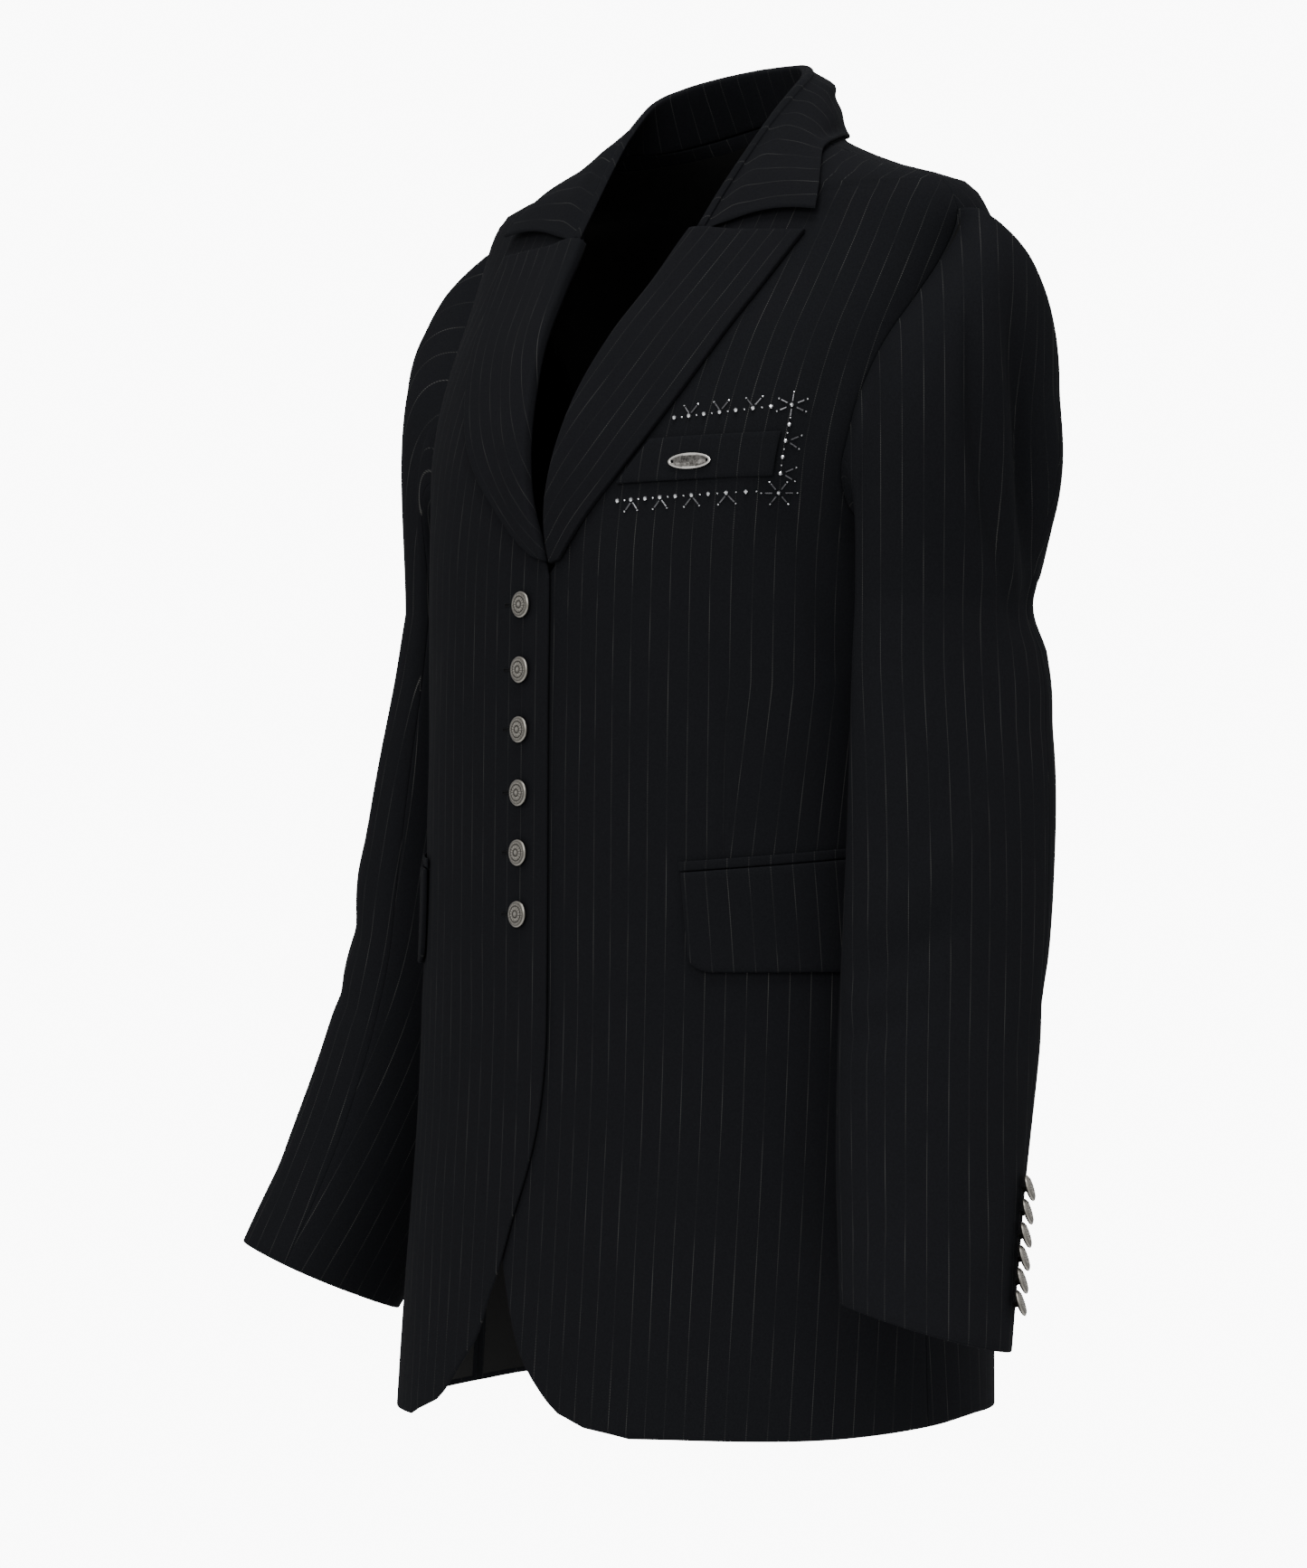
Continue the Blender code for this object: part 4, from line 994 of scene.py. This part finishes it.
woolLook = {
    "cloth": "#0b0b0d",  # near-black worsted
    "clothPale": "#151618",  # its lighter fibres
    "stripe": "#434341",  # pale silver thread of the pinstripe
    "pitch": 0.012,  # m between stripes
    "halfWidth": 0.00016,  # m, half of a stripe
    "stitch": 0.0013,  # m from dash to dash along a stripe
    "patch": 18.0,  # per m, how fast a stripe brightens and fades along its length
    "twill": 0.0007,  # m between the twill's ribs
}


def mapped(material, source, low, high, toLow=0.0, toHigh=1.0):
    return addNode(material, "ShaderNodeMapRange", {1: low, 2: high, 3: toLow, 4: toHigh}, [(0, *source)])


def combined(material, operation, first, second):
    # A sum on one socket: the second value is a number or another (node, output).
    if isinstance(second, tuple):
        return addNode(material, "ShaderNodeMath", None, [(0, *first), (1, *second)], operation=operation)
    return addNode(material, "ShaderNodeMath", {1: second}, [(0, *first)], operation=operation)


def stretched(material, source, scale):
    return addNode(material, "ShaderNodeVectorMath", {1: scale}, [(0, *source)], operation="MULTIPLY")


def coloured(material, share, dark, pale, darkLink=None):
    # Base colour between two: dark is a screen colour or, with darkLink, what another node gives.
    values = {7: sRgb(pale)} if darkLink else {6: sRgb(dark), 7: sRgb(pale)}
    links = [(0, *share)] + ([(6, *darkLink)] if darkLink else [])
    mix = addNode(material, "ShaderNodeMix", values, links, data_type="RGBA")
    setShader(material, "Base Color", mix, 2)
    return mix


def bumped(material, height, strength, distance):
    values = {"Strength": strength, "Distance": distance}
    setShader(material, "Normal", addNode(material, "ShaderNodeBump", values, [("Height", *height)]), 0)


def mottled(material, scale, dark, pale, detail=2.0):
    # Noise on the object's own metres, stretched by the scale, sets the colour.
    long = stretched(material, (addNode(material, "ShaderNodeTexCoord"), "Object"), scale)
    noise = addNode(material, "ShaderNodeTexNoise", {"Scale": 1.0, "Detail": detail}, [("Vector", long, 0)])
    coloured(material, (noise, 0), dark, pale)
    return noise


def makeWool(look):
    # Worsted wool with a dashed pinstripe, on the cloth's own metres; roughness, sheen and twill follow it.
    wool = newMaterial(
        "pinstripe wool",
        **{"Roughness": 0.92, "Specular IOR Level": 0.01},
        **{"Sheen Weight": 0.004, "Sheen Roughness": 0.5, "Sheen Tint": sRgb("#9a9ca4")},
    )
    place = addNode(wool, "ShaderNodeUVMap", uv_map="cloth")
    parts = addNode(wool, "ShaderNodeSeparateXYZ", links=[(0, place, "UV")])
    across = combined(wool, "PINGPONG", (parts, "X"), look["pitch"] / 2)
    line = mapped(wool, (across, 0), look["halfWidth"] * 1.4, look["halfWidth"] * 0.6)
    beat = combined(wool, "PINGPONG", (parts, "Y"), look["stitch"] / 2)
    dash = mapped(wool, (beat, 0), look["stitch"] * 0.34, look["stitch"] * 0.2, 0.1)
    squeezed = stretched(wool, (place, "UV"), (83.3, look["patch"], 1.0))
    noise = addNode(wool, "ShaderNodeTexNoise", {"Scale": 1.0, "Detail": 2.0}, [("Vector", squeezed, 0)])
    bright = mapped(wool, (noise, 0), 0.42, 0.68, 0.14)
    thread = combined(wool, "MULTIPLY", (combined(wool, "MULTIPLY", (line, 0), (dash, 0)), 0), (bright, 0))
    metric = addNode(wool, "ShaderNodeTexCoord")
    values = {"Scale": 900.0, "Detail": 4.0, "Roughness": 0.7}
    fibres = addNode(wool, "ShaderNodeTexNoise", values, [("Vector", metric, "Object")])
    ground = coloured(wool, (fibres, 0), look["cloth"], look["clothPale"])
    coloured(wool, (thread, 0), None, look["stripe"], (ground, 2))
    slant = combined(wool, "ADD", (parts, "X"), (parts, "Y"))
    rib = combined(wool, "PINGPONG", (slant, 0), look["twill"] / 2)
    ribs = combined(wool, "MULTIPLY", (rib, 0), 1 / look["twill"])
    bumped(wool, (combined(wool, "ADD", (ribs, 0), (fibres, 0)), 0), 0.35, 0.00012)
    return wool


liningLook = {"cloth": "#040404", "sheen": "#090909", "roughness": 0.6}


def makeLining(look):
    lining = newMaterial("satin lining", **{"Roughness": look["roughness"], "Specular IOR Level": 0.12})
    noise = mottled(lining, (60.0, 60.0, 6.0), look["cloth"], look["sheen"], 3.0)
    bumped(lining, (noise, 0), 0.25, 0.001)
    return lining


def makeSilver(name, dark, pale, roughness, scale):
    # Metal that is darker in its low places and where the buttons carry painted shade: the vertex attribute
    # relief runs from 0 to 1.
    metal = newMaterial(name, **{"Metallic": 1.0, "Roughness": roughness})
    relief = addNode(metal, "ShaderNodeAttribute", attribute_name="relief")
    place = addNode(metal, "ShaderNodeTexCoord")
    values = {"Scale": scale, "Detail": 5.0, "Roughness": 0.65}
    grime = addNode(metal, "ShaderNodeTexNoise", values, [("Vector", place, "Object")])
    total = combined(metal, "ADD", (relief, "Fac"), (combined(metal, "MULTIPLY", (grime, 0), 0.6), 0))
    share = mapped(metal, (total, 0), 0.35, 1.15)
    coloured(metal, (share, 0), dark, pale)
    setShader(metal, "Roughness", mapped(metal, (share, 0), 0.0, 1.0, roughness + 0.2, roughness), 0)
    bumped(metal, (grime, 0), 0.3, 0.0001)
    return metal


wool = makeWool(woolLook)
lining = makeLining(liningLook)
silver = makeSilver("antique silver", "#141210", "#7b7872", 0.36, 900.0)
plateMetal = makeSilver("polished silver plate", "#242220", "#c6c3be", 0.24, 500.0)
print("materials made")

cloths = (wool, lining)
clothPiece("front_left", frontGrid(edgeLeft, sinkLeft, frontCreases["left"]), 1, cloths)
clothPiece("front_right", frontGrid(edgeRight, sinkRight, frontCreases["right"]), -1, cloths)
for word, sign in (("left", 1), ("right", -1)):
    clothPiece("back_" + word, backGrid(backCreases[word]), sign, cloths)
print("body panels made")

for sideWord, sideSign in (("left", 1), ("right", -1)):
    creases = sleeveCreases[sideWord]
    base = sleeveBase(topPoints, underPoints, cuffSeamFront, cuffSeamBack, sideSign)
    top = sleeveGrid(base, creases, True, sideSign)
    base = sleeveBase(underPoints, topPoints, cuffSeamBack, cuffSeamFront - 360, sideSign)
    under = sleeveGrid(base, creases, False, sideSign)
    clothPiece("sleeve_top_" + sideWord, top, sideSign, cloths)
    clothPiece("sleeve_under_" + sideWord, under, sideSign, cloths)
print("sleeves made")

for word, sign, edge, table, sink in (
    ("left", 1, edgeLeft, lapelLeft, sinkLeft),
    ("right", -1, edgeRight, lapelRight, sinkRight),
):
    clothPiece("lapel_" + word, lapelGrid(edge, table, sink), sign, (wool,), "folded")
clothPiece("collar", collarGrid(), 1, (wool,), "folded")
print("collar and lapels made")

ends = np.concatenate((np.linspace(0, 0.08, 12), np.linspace(0.1, 0.9, 44), np.linspace(0.92, 1, 12)))
for sideWord, sideSign in (("left", 1), ("right", -1)):
    flap = laidGrid(np.linspace(0, 1, 14), ends, flapPlace, flapGap + 0.28, 0.28, 0.09)
    jet = laidGrid(np.linspace(0, 1, 4), np.linspace(0, 1, 60), jetPlace, flapGap + 0.14, 0.14, 0.0)
    jetPiece = clothPiece("flap_jet_" + sideWord, jet, sideSign, (wool,), None)
    clothPiece("flap_" + sideWord, flap, sideSign, (wool,), "hung")
weltGrid = laidGrid(np.linspace(0, 1, 9), np.linspace(0, 1, 44), weltPlace, layGap + 0.22, 0.22, 0.0)
clothPiece("chest_welt", weltGrid, 1, (wool,), "laid")
print("pockets made")


def meshPiece(name, points, faces, material, slots=(), relief=None, smooth=True, stands=True):
    # A joined piece of trim on the jacket, from points in centimetres; slots are its CAD nodes.
    mesh = bpy.data.meshes.new(name)
    mesh.from_pydata((np.asarray(points) * cm).tolist(), [], faces)
    mesh.materials.append(material)
    if relief is not None:
        layer = mesh.attributes.new("relief", "FLOAT", "POINT")
        layer.data.foreach_set("value", np.asarray(relief, float))
    if smooth:
        mesh.shade_smooth()
    mesh.update()
    piece = bpy.data.objects.new(name, mesh)
    bpy.context.scene.collection.objects.link(piece)
    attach(piece, "root")
    if slots and stands:
        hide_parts(*slots)


def turnedFaces(rings, steps):
    # Faces of a closed turned form: a first point, its rings and a last point.
    last = 1 + rings * steps
    faces = [(0, 1 + k, 1 + (k + 1) % steps) for k in range(steps)]
    for low in range(1, last - steps, steps):
        for k in range(steps):
            nextK = (k + 1) % steps
            faces.append((low + k, low + steps + k, low + steps + nextK, low + nextK))
    low = last - steps
    return faces + [(last, low + (k + 1) % steps, low + k) for k in range(steps)]


buttonLook = {
    "dots": 26,  # beads round the rim
    "flutes": 15,  # petals of the ring inside it
    "steps": 104,  # points round a button
    "shank": 0.23,  # cm, on the cuff buttons
}


def buttonForm(shank):
    # One button at the origin, face up, in centimetres: points, faces and how high each point stands, with
    # painted shade on the rim's side, the back and the shank.
    r = buttonRadius
    t = buttonThick
    steps = buttonLook["steps"]
    angles = np.arange(steps) * 2 * math.pi / steps
    marks = (
        0.05, 0.12, 0.19, 0.24, 0.28, 0.34, 0.42, 0.50, 0.57, 0.61, 0.65, 0.69, 0.73, 0.77, 0.81, 0.84, 0.88,
    )
    points = [(0.0, 0.0, t * 0.99)]
    relief = [1.0]
    for mark in marks:
        dome = t * (0.62 + 0.30 * math.sqrt(1 - (mark * 0.9) ** 2))
        petals = 0.5 + 0.5 * np.cos(angles * buttonLook["flutes"])
        dots = 0.5 + 0.5 * np.cos(angles * buttonLook["dots"])
        ring = math.exp(-(((mark - 0.44) / 0.13) ** 2))
        rim = math.exp(-(((mark - 0.73) / 0.06) ** 2))
        boss = math.exp(-((mark / 0.17) ** 2))
        grooves = math.exp(-(((mark - 0.27) / 0.035) ** 2)) + math.exp(-(((mark - 0.62) / 0.03) ** 2))
        rise = 0.050 * ring * petals + 0.045 * rim * dots + 0.035 * boss - 0.030 * grooves
        height = dome + rise
        points += list(zip(r * mark * np.cos(angles), r * mark * np.sin(angles), height))
        relief += list(np.clip(0.35 + rise * 14, 0, 1))
    # Third value of each edge ring: the rim's upper rounding, then painted shade darkening its side down
    # towards the cloth, the back and the shank.
    edge = [(r * 0.92, t * 0.70, 0.75), (r * 0.97, t * 0.66, 0.9), (r, t * 0.52, 0.8)]
    edge += [(r * 0.99, t * 0.40, 0.5), (r * 0.90, t * 0.20, 0.3), (r * 0.6, 0.0, 0.1)]
    if shank:
        edge += [(0.15, 0.0, 0.1), (0.15, -shank, 0.1)]
    for radius, height, shade in edge:
        points += list(zip(radius * np.cos(angles), radius * np.sin(angles), np.full(steps, height)))
        relief += [shade] * steps
    rings = (len(points) - 1) // steps
    points.append((0.0, 0.0, points[-1][2]))
    relief.append(0.1)
    return np.array(points), turnedFaces(rings, steps), relief


def placed(points, origin, normal, lean):
    z = unit(normal)
    x = unit(np.cross(lean, z))
    y = np.cross(z, x)
    return origin + points @ np.array((x, y, z))


def joined(forms):
    # Points, faces and relief of many small forms as one.
    points = []
    faces = []
    relief = []
    count = 0
    for some, corners, heights in forms:
        points.append(some)
        faces += [tuple(c + count for c in face) for face in corners]
        relief += list(heights)
        count += len(some)
    return np.concatenate(points), faces, relief


def makeButtons():
    up = np.array((0.0, 0.0, 1.0))
    points, faces, relief = buttonForm(0.0)
    forms = []
    for z in frontButtons:
        normal = bodyNormal(0.0, z)
        forms.append((placed(points, bodyAt(0.0, z) + normal * 0.05, normal, up), faces, relief))
    points, faces, relief = joined(forms)
    names = ["button_front_" + str(k + 1) for k in range(6)]
    meshPiece("buttonsFront", points, faces, silver, names, relief)
    points, faces, relief = buttonForm(buttonLook["shank"])
    for side, word in ((1, "left"), (-1, "right")):
        forms = []
        for at in range(6):
            z = cuffButtonLow + at * cuffButtonPitch * 0.92
            turn = cuffButtonTurn
            p = sleeveRing(turn, z, side)
            along = unit(sleeveRing(turn, z + 0.5, side) - sleeveRing(turn, z - 0.5, side))
            across = sleeveRing(turn + 2, z, side) - sleeveRing(turn - 2, z, side)
            normal = unit(np.cross(along, across))
            tilt = math.radians(cuffButtonTilt)
            face = normal * math.cos(tilt) + along * math.sin(tilt)
            flip = np.array((side, 1.0, 1.0))
            some = placed(points, (p + normal * 0.30) * flip, face * flip, along * flip)
            forms.append((some, faces, relief))
        some, corners, heights = joined(forms)
        names = ["button_cuff_" + word + "_" + str(k + 1) for k in range(6)]
        meshPiece("buttonsCuff" + word.capitalize(), some, corners, silver, names, heights)


makeButtons()
print("buttons made")

plateLook = {
    "size": (0.0130, 0.0045, 0.0012),  # m, half width, half height and thickness
    "rim": 0.0013,  # m, width of the raised rim
    "recess": 0.00035,  # m, step down from the rim
    "hole": 0.0009,  # m, radius of a sewing hole
    "holeAt": 0.0108,  # m from the middle to a hole
}


def makePlate():
    # Oval plate with a raised rim and a sewing hole at each end.
    low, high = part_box("chest_plate")
    centre = (np.array(low) + np.array(high)) / 2
    bpy.ops.object.select_all(action="DESELECT")
    bpy.ops.mesh.primitive_cylinder_add(vertices=72, radius=1.0, depth=1.0, end_fill_type="NGON")
    plate = bpy.context.object
    plate.name = "chestPlate"
    plate.scale = plateLook["size"]
    bpy.ops.object.transform_apply(location=False, rotation=False, scale=True)
    bpy.ops.object.mode_set(mode="EDIT")
    bpy.ops.mesh.select_mode(type="FACE")
    bpy.ops.mesh.select_all(action="DESELECT")
    bpy.ops.object.mode_set(mode="OBJECT")
    top = max(plate.data.polygons, key=lambda face: face.center.z)
    top.select = True
    bpy.ops.object.mode_set(mode="EDIT")
    bpy.ops.mesh.inset(thickness=plateLook["rim"])
    bpy.ops.mesh.inset(thickness=0.0003)
    bpy.ops.transform.translate(value=(0, 0, -plateLook["recess"]))
    bpy.ops.object.mode_set(mode="OBJECT")
    for side in (-1, 1):
        bpy.ops.object.select_all(action="DESELECT")
        at = (side * plateLook["holeAt"], 0, 0)
        bpy.ops.mesh.primitive_cylinder_add(vertices=20, radius=plateLook["hole"], depth=0.01, location=at)
        drill = bpy.context.object
        bpy.ops.object.select_all(action="DESELECT")
        plate.select_set(True)
        bpy.context.view_layer.objects.active = plate
        cut = plate.modifiers.new("sewing hole", "BOOLEAN")
        cut.operation = "DIFFERENCE"
        cut.solver = "EXACT"
        cut.object = drill
        bpy.ops.object.modifier_apply(modifier=cut.name)
        bpy.data.objects.remove(drill)
    bevel = plate.modifiers.new("rounded edges", "BEVEL")
    bevel.width = 0.00025
    bevel.segments = 2
    bevel.limit_method = "ANGLE"
    bevel.angle_limit = math.radians(40)
    bpy.ops.object.modifier_apply(modifier=bevel.name)
    points = np.array([v.co for v in plate.data.vertices])
    reach = np.array(plateLook["size"][:2]) - plateLook["rim"]
    inner = np.hypot(*(points[:, :2] / reach).T)
    relief = plate.data.attributes.new("relief", "FLOAT", "POINT")
    relief.data.foreach_set("value", np.where(inner < 1.0, 0.15, 1.0))
    normal = bodyNormal(angleAtX(plateX, plateZ), plateZ)
    points = placed(points, centre, normal, np.array((-0.03, 0.0, 1.0)))
    for vertex, place in zip(plate.data.vertices, points):
        vertex.co = place
    plate.data.shade_smooth()
    plate.data.set_sharp_from_angle(angle=math.radians(50))
    plate.data.materials.append(plateMetal)
    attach(plate, "root")
    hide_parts("chest_plate")


makePlate()
print("plate made")

beadLook = {
    "crystal": 0.135,  # cm, radius of a round crystal
    "bugle": 0.045,  # cm, radius of a glass tube
    "seed": 0.06,  # cm, radius of a seed bead
    "pitch": 0.44,  # cm between crystals in a row
}


def chestPoint(x, z, lift):
    angle = angleAtX(x, z)
    u = trunkArc(np.array([z]), np.array([angle]))
    rise = float(creased(frontCreases["left"], u, np.array([z]))[0])
    return lifted(angle, z, lift + rise, sinkLeft), bodyNormal(angle, z)


def turnedBead(profile, steps=8):
    # A bead round its own z axis, from rows of (radius, height).
    angles = (np.arange(steps) + 0.5) * 2 * math.pi / steps
    points = [(0.0, 0.0, profile[0][1])]
    for radius, height in profile[1:-1]:
        points += [(radius * math.cos(a), radius * math.sin(a), height) for a in angles]
    points.append((0.0, 0.0, profile[-1][1]))
    faces = turnedFaces(len(profile) - 2, steps)
    return np.array(points), [(face[0], *face[:0:-1]) for face in faces]


def crystalForm():
    r = beadLook["crystal"]
    half = ((0.95, 0.25), (0.55, 0.72), (0, 0.8))
    rows = [(r * a, -r * b) for a, b in half[::-1]] + [(r * a, r * b) for a, b in half]
    return turnedBead(rows)


def bugleForm(length):
    r = beadLook["bugle"]
    half = length / 2
    rows = ((0, -half), (r * 0.7, -half), (r, -half + 0.02), (r, half - 0.02), (r * 0.7, half), (0, half))
    return turnedBead(rows)


def seedForm():
    r = beadLook["seed"]
    rows = ((0, -r * 0.7), (r * 0.7, -r * 0.62), (r, 0.0), (r * 0.7, r * 0.62), (0, r * 0.7))
    return turnedBead(rows)


def addBead(forms, form, x, z, dx, dz, lift):
    # Lays a bead on the chest with its hole along (dx, dz).
    p, normal = chestPoint(x, z, lift)
    ahead = chestPoint(x + dx * 0.1, z + dz * 0.1, lift)[0]
    along = unit(ahead - p)
    points, faces = form
    forms.append((placed(points, p, along, normal), faces, [0.5] * len(points)))


def addLeaf(beads, x, z, dx, dz, length):
    # A glass tube that leaves the stem, with a seed bead on its tip.
    size = math.hypot(dx, dz)
    dx /= size
    dz /= size
    beads["bugles"].append((x + dx * (0.1 + length / 2), z + dz * (0.1 + length / 2), dx, dz, length))
    beads["seeds"].append((x + dx * (0.19 + length), z + dz * (0.19 + length), dx, dz))


def addBurst(beads, x, z, rays, length, start):
    beads["crystals"].append((x, z, 1.0, 0.0))
    for k in range(rays):
        a = math.radians(start + 360 * k / rays)
        addLeaf(beads, x + 0.1 * math.cos(a), z + 0.1 * math.sin(a), math.cos(a), math.sin(a), length)


def addStem(beads, start, end, side, leafEvery, leaf):
    # A straight row of crystals with a pair of leaves at even places, both to one side.
    dx = end[0] - start[0]
    dz = end[1] - start[1]
    length = math.hypot(dx, dz)
    dx /= length
    dz /= length
    count = round(length / beadLook["pitch"])
    for k in range(count + 1):
        x = start[0] + dx * length * k / count
        z = start[1] + dz * length * k / count
        beads["crystals" if k % 2 == 0 else "seeds"].append((x, z, dx, dz))
        if k % leafEvery == leafEvery // 2:
            ox = x - dz * side * 0.08
            oz = z + dx * side * 0.08
            addLeaf(beads, ox, oz, dx * 0.75 - dz * side, dz * 0.75 + dx * side, leaf)
            addLeaf(beads, ox, oz, -dx * 0.75 - dz * side, -dz * 0.75 + dx * side, leaf)


def makeBeads():
    beads = {"crystals": [], "bugles": [], "seeds": []}
    addStem(beads, (9.8, -16.5), (15.0, -16.0), 1.0, 4, 0.5)
    addStem(beads, (7.0, -21.1), (14.6, -20.7), -1.0, 4, 0.5)
    addStem(beads, (15.9, -17.0), (15.6, -19.7), 1.0, 4, 0.45)
    addBurst(beads, 15.9, -15.9, 6, 0.42, 30)
    addBurst(beads, 15.5, -20.8, 6, 0.42, 0)
    crystals = []
    for x, z, dx, dz in beads["crystals"]:
        addBead(crystals, crystalForm(), x, z, dx, dz, beadLook["crystal"] * 0.92)
    tubes = []
    for x, z, dx, dz, length in beads["bugles"]:
        addBead(tubes, bugleForm(length), x, z, dx, dz, beadLook["bugle"] + 0.01)
    for x, z, dx, dz in beads["seeds"]:
        addBead(crystals, seedForm(), x, z, dx, dz, beadLook["seed"] + 0.01)
    for name, forms, material in (("chestCrystals", crystals, crystal), ("chestBugles", tubes, glass)):
        points, faces, relief = joined(forms)
        meshPiece(name, points, faces, material, smooth=False)


crystal = newMaterial("foiled crystal", **{"Metallic": 0.9, "Roughness": 0.1})
mottled(crystal, (700.0, 700.0, 700.0), "#86888c", "#f0f1f4")
glass = newMaterial("smoke glass tube", **{"Metallic": 0.5, "Roughness": 0.14})
mottled(glass, (500.0, 500.0, 500.0), "#18181a", "#626266")
makeBeads()
print("beads made")

holeLook = {
    "length": 1.9,  # cm
    "width": 0.13,  # cm
    "cord": 0.03,  # cm, radius of the worked edge
    "from": 0.25,  # cm from the button's middle to the near end
}


def cordRing(path, radius, steps):
    # Closed cord along a closed path of (point, normal) pairs.
    points = []
    faces = []
    count = len(path)
    for k in range(count):
        here, normal = path[k]
        along = unit(path[(k + 1) % count][0] - path[k - 1][0])
        side = np.cross(along, normal)
        for j in range(steps):
            a = 2 * math.pi * j / steps
            points.append(here + side * radius * math.cos(a) + normal * radius * 0.8 * math.sin(a))
    for k in range(count):
        for j in range(steps):
            a = k * steps + j
            b = k * steps + (j + 1) % steps
            c = ((k + 1) % count) * steps + (j + 1) % steps
            d = ((k + 1) % count) * steps + j
            faces.append((a, d, c, b))
    return np.array(points), faces


def makeButtonholes():
    # Worked buttonholes of the right front, running from each button away from its edge.
    half = (holeLook["length"] - holeLook["width"]) / 2
    forms = []
    for z in frontButtons:
        middle = -holeLook["from"] + holeLook["length"] / 2
        path = []
        for k in range(64):
            a = 2 * math.pi * k / 64
            x = middle + math.copysign(half, math.cos(a)) + holeLook["width"] / 2 * math.cos(a)
            if abs(math.cos(a)) < 0.55:
                x = middle + half * math.cos(a) / 0.55
            y = z + holeLook["width"] / 2 * min(max(math.sin(a) / 0.83, -1), 1)
            angle = angleAtX(x, y)
            point = lifted(angle, y, 0.02) * np.array((-1, 1, 1))
            path.append((point, bodyNormal(angle, y) * np.array((-1, 1, 1))))
        points, faces = cordRing(path, holeLook["cord"], 8)
        forms.append((points, faces, [0.0] * len(points)))
    points, faces, relief = joined(forms)
    meshPiece("buttonholes", points, faces, threadMaterial, ("front_right",), stands=False)


def makeThread():
    thread = newMaterial("buttonhole silk", **{"Roughness": 0.8, "Specular IOR Level": 0.05})
    place = addNode(thread, "ShaderNodeTexCoord")
    values = {"Scale": 700.0, "Distortion": 1.0}
    wave = addNode(thread, "ShaderNodeTexWave", values, [("Vector", place, "Object")])
    coloured(thread, (wave, 1), "#050505", "#0d0d0e")
    bumped(thread, (wave, 1), 0.6, 0.0002)
    return thread


threadMaterial = makeThread()
makeButtonholes()
print("buttonholes made")

stageLook = {
    "floor": "#f2f2f1",
    "floorHeight": -1.02,  # m below the shoulders
    "lights": (
        # place and size in metres, strength in watts
        ("keyLight", (2.0, -3.8, 1.9), 2.4, 120.0),
        ("fillLight", (-3.2, -2.8, 0.9), 2.6, 24.0),
        ("topLight", (0.8, -0.6, 3.2), 2.2, 150.0),
        ("backLight", (1.6, 3.6, 1.4), 2.2, 40.0),
    ),
    "sky": 1.0,
    "backdrop": 10.0,  # how much brighter the white studio is for the camera alone
}


def makeStage():
    bpy.ops.object.select_all(action="DESELECT")
    bpy.ops.mesh.primitive_cylinder_add(vertices=128, radius=1.5, depth=0.04)
    bpy.context.object.location = (0, 0, stageLook["floorHeight"] - 0.02)
    floor = bpy.context.object
    floor.name = "floor"
    paint = newMaterial("pale floor", **{"Roughness": 0.9, "Base Color": sRgb(stageLook["floor"])})
    floor.data.materials.append(paint)
    world = bpy.data.worlds.new("studio")
    world.use_nodes = True
    background = world.node_tree.nodes["Background"]
    background.inputs["Color"].default_value = (1.0, 1.0, 1.0, 1.0)
    ray = addNode(world, "ShaderNodeLightPath")
    strength = mapped(world, (ray, 0), 0.0, 1.0, stageLook["sky"], stageLook["backdrop"])
    world.node_tree.links.new(strength.outputs[0], background.inputs["Strength"])
    bpy.context.scene.world = world
    for name, place, size, power in stageLook["lights"]:
        lamp = bpy.data.lights.new(name, "AREA")
        lamp.shape = "DISK"
        lamp.size = size
        lamp.energy = power
        light = bpy.data.objects.new(name, lamp)
        light.location = place
        aim = np.array((0.0, -0.05, -0.35)) - np.array(place)
        light.rotation_euler = (
            math.acos(-aim[2] / np.linalg.norm(aim)),
            0.0,
            math.atan2(aim[1], aim[0]) - math.pi / 2,
        )
        bpy.context.scene.collection.objects.link(light)


cameraLook = {
    "turn": 50.0,  # degrees round from the front, towards the wearer's left
    "distance": 4.104,  # m
    "aside": -0.038,  # m
    "height": -0.37,  # m from the shoulders
    "lens": 161.94,  # mm
}


def makeCamera():
    # From the wearer's left front, level with the chest, as in the photograph.
    camera = bpy.data.objects.new("camera", bpy.data.cameras.new("camera"))
    camera.data.lens = cameraLook["lens"]
    camera.data.sensor_width = 36.0
    turn = math.radians(cameraLook["turn"])
    away = cameraLook["distance"]
    aside = cameraLook["aside"]
    x = away * math.sin(turn) + aside * math.cos(turn)
    y = aside * math.sin(turn) - away * math.cos(turn)
    camera.location = (x, y, cameraLook["height"])
    camera.rotation_euler = (math.radians(90), 0.0, turn)
    bpy.context.scene.collection.objects.link(camera)
    bpy.context.scene.camera = camera


makeStage()
makeCamera()
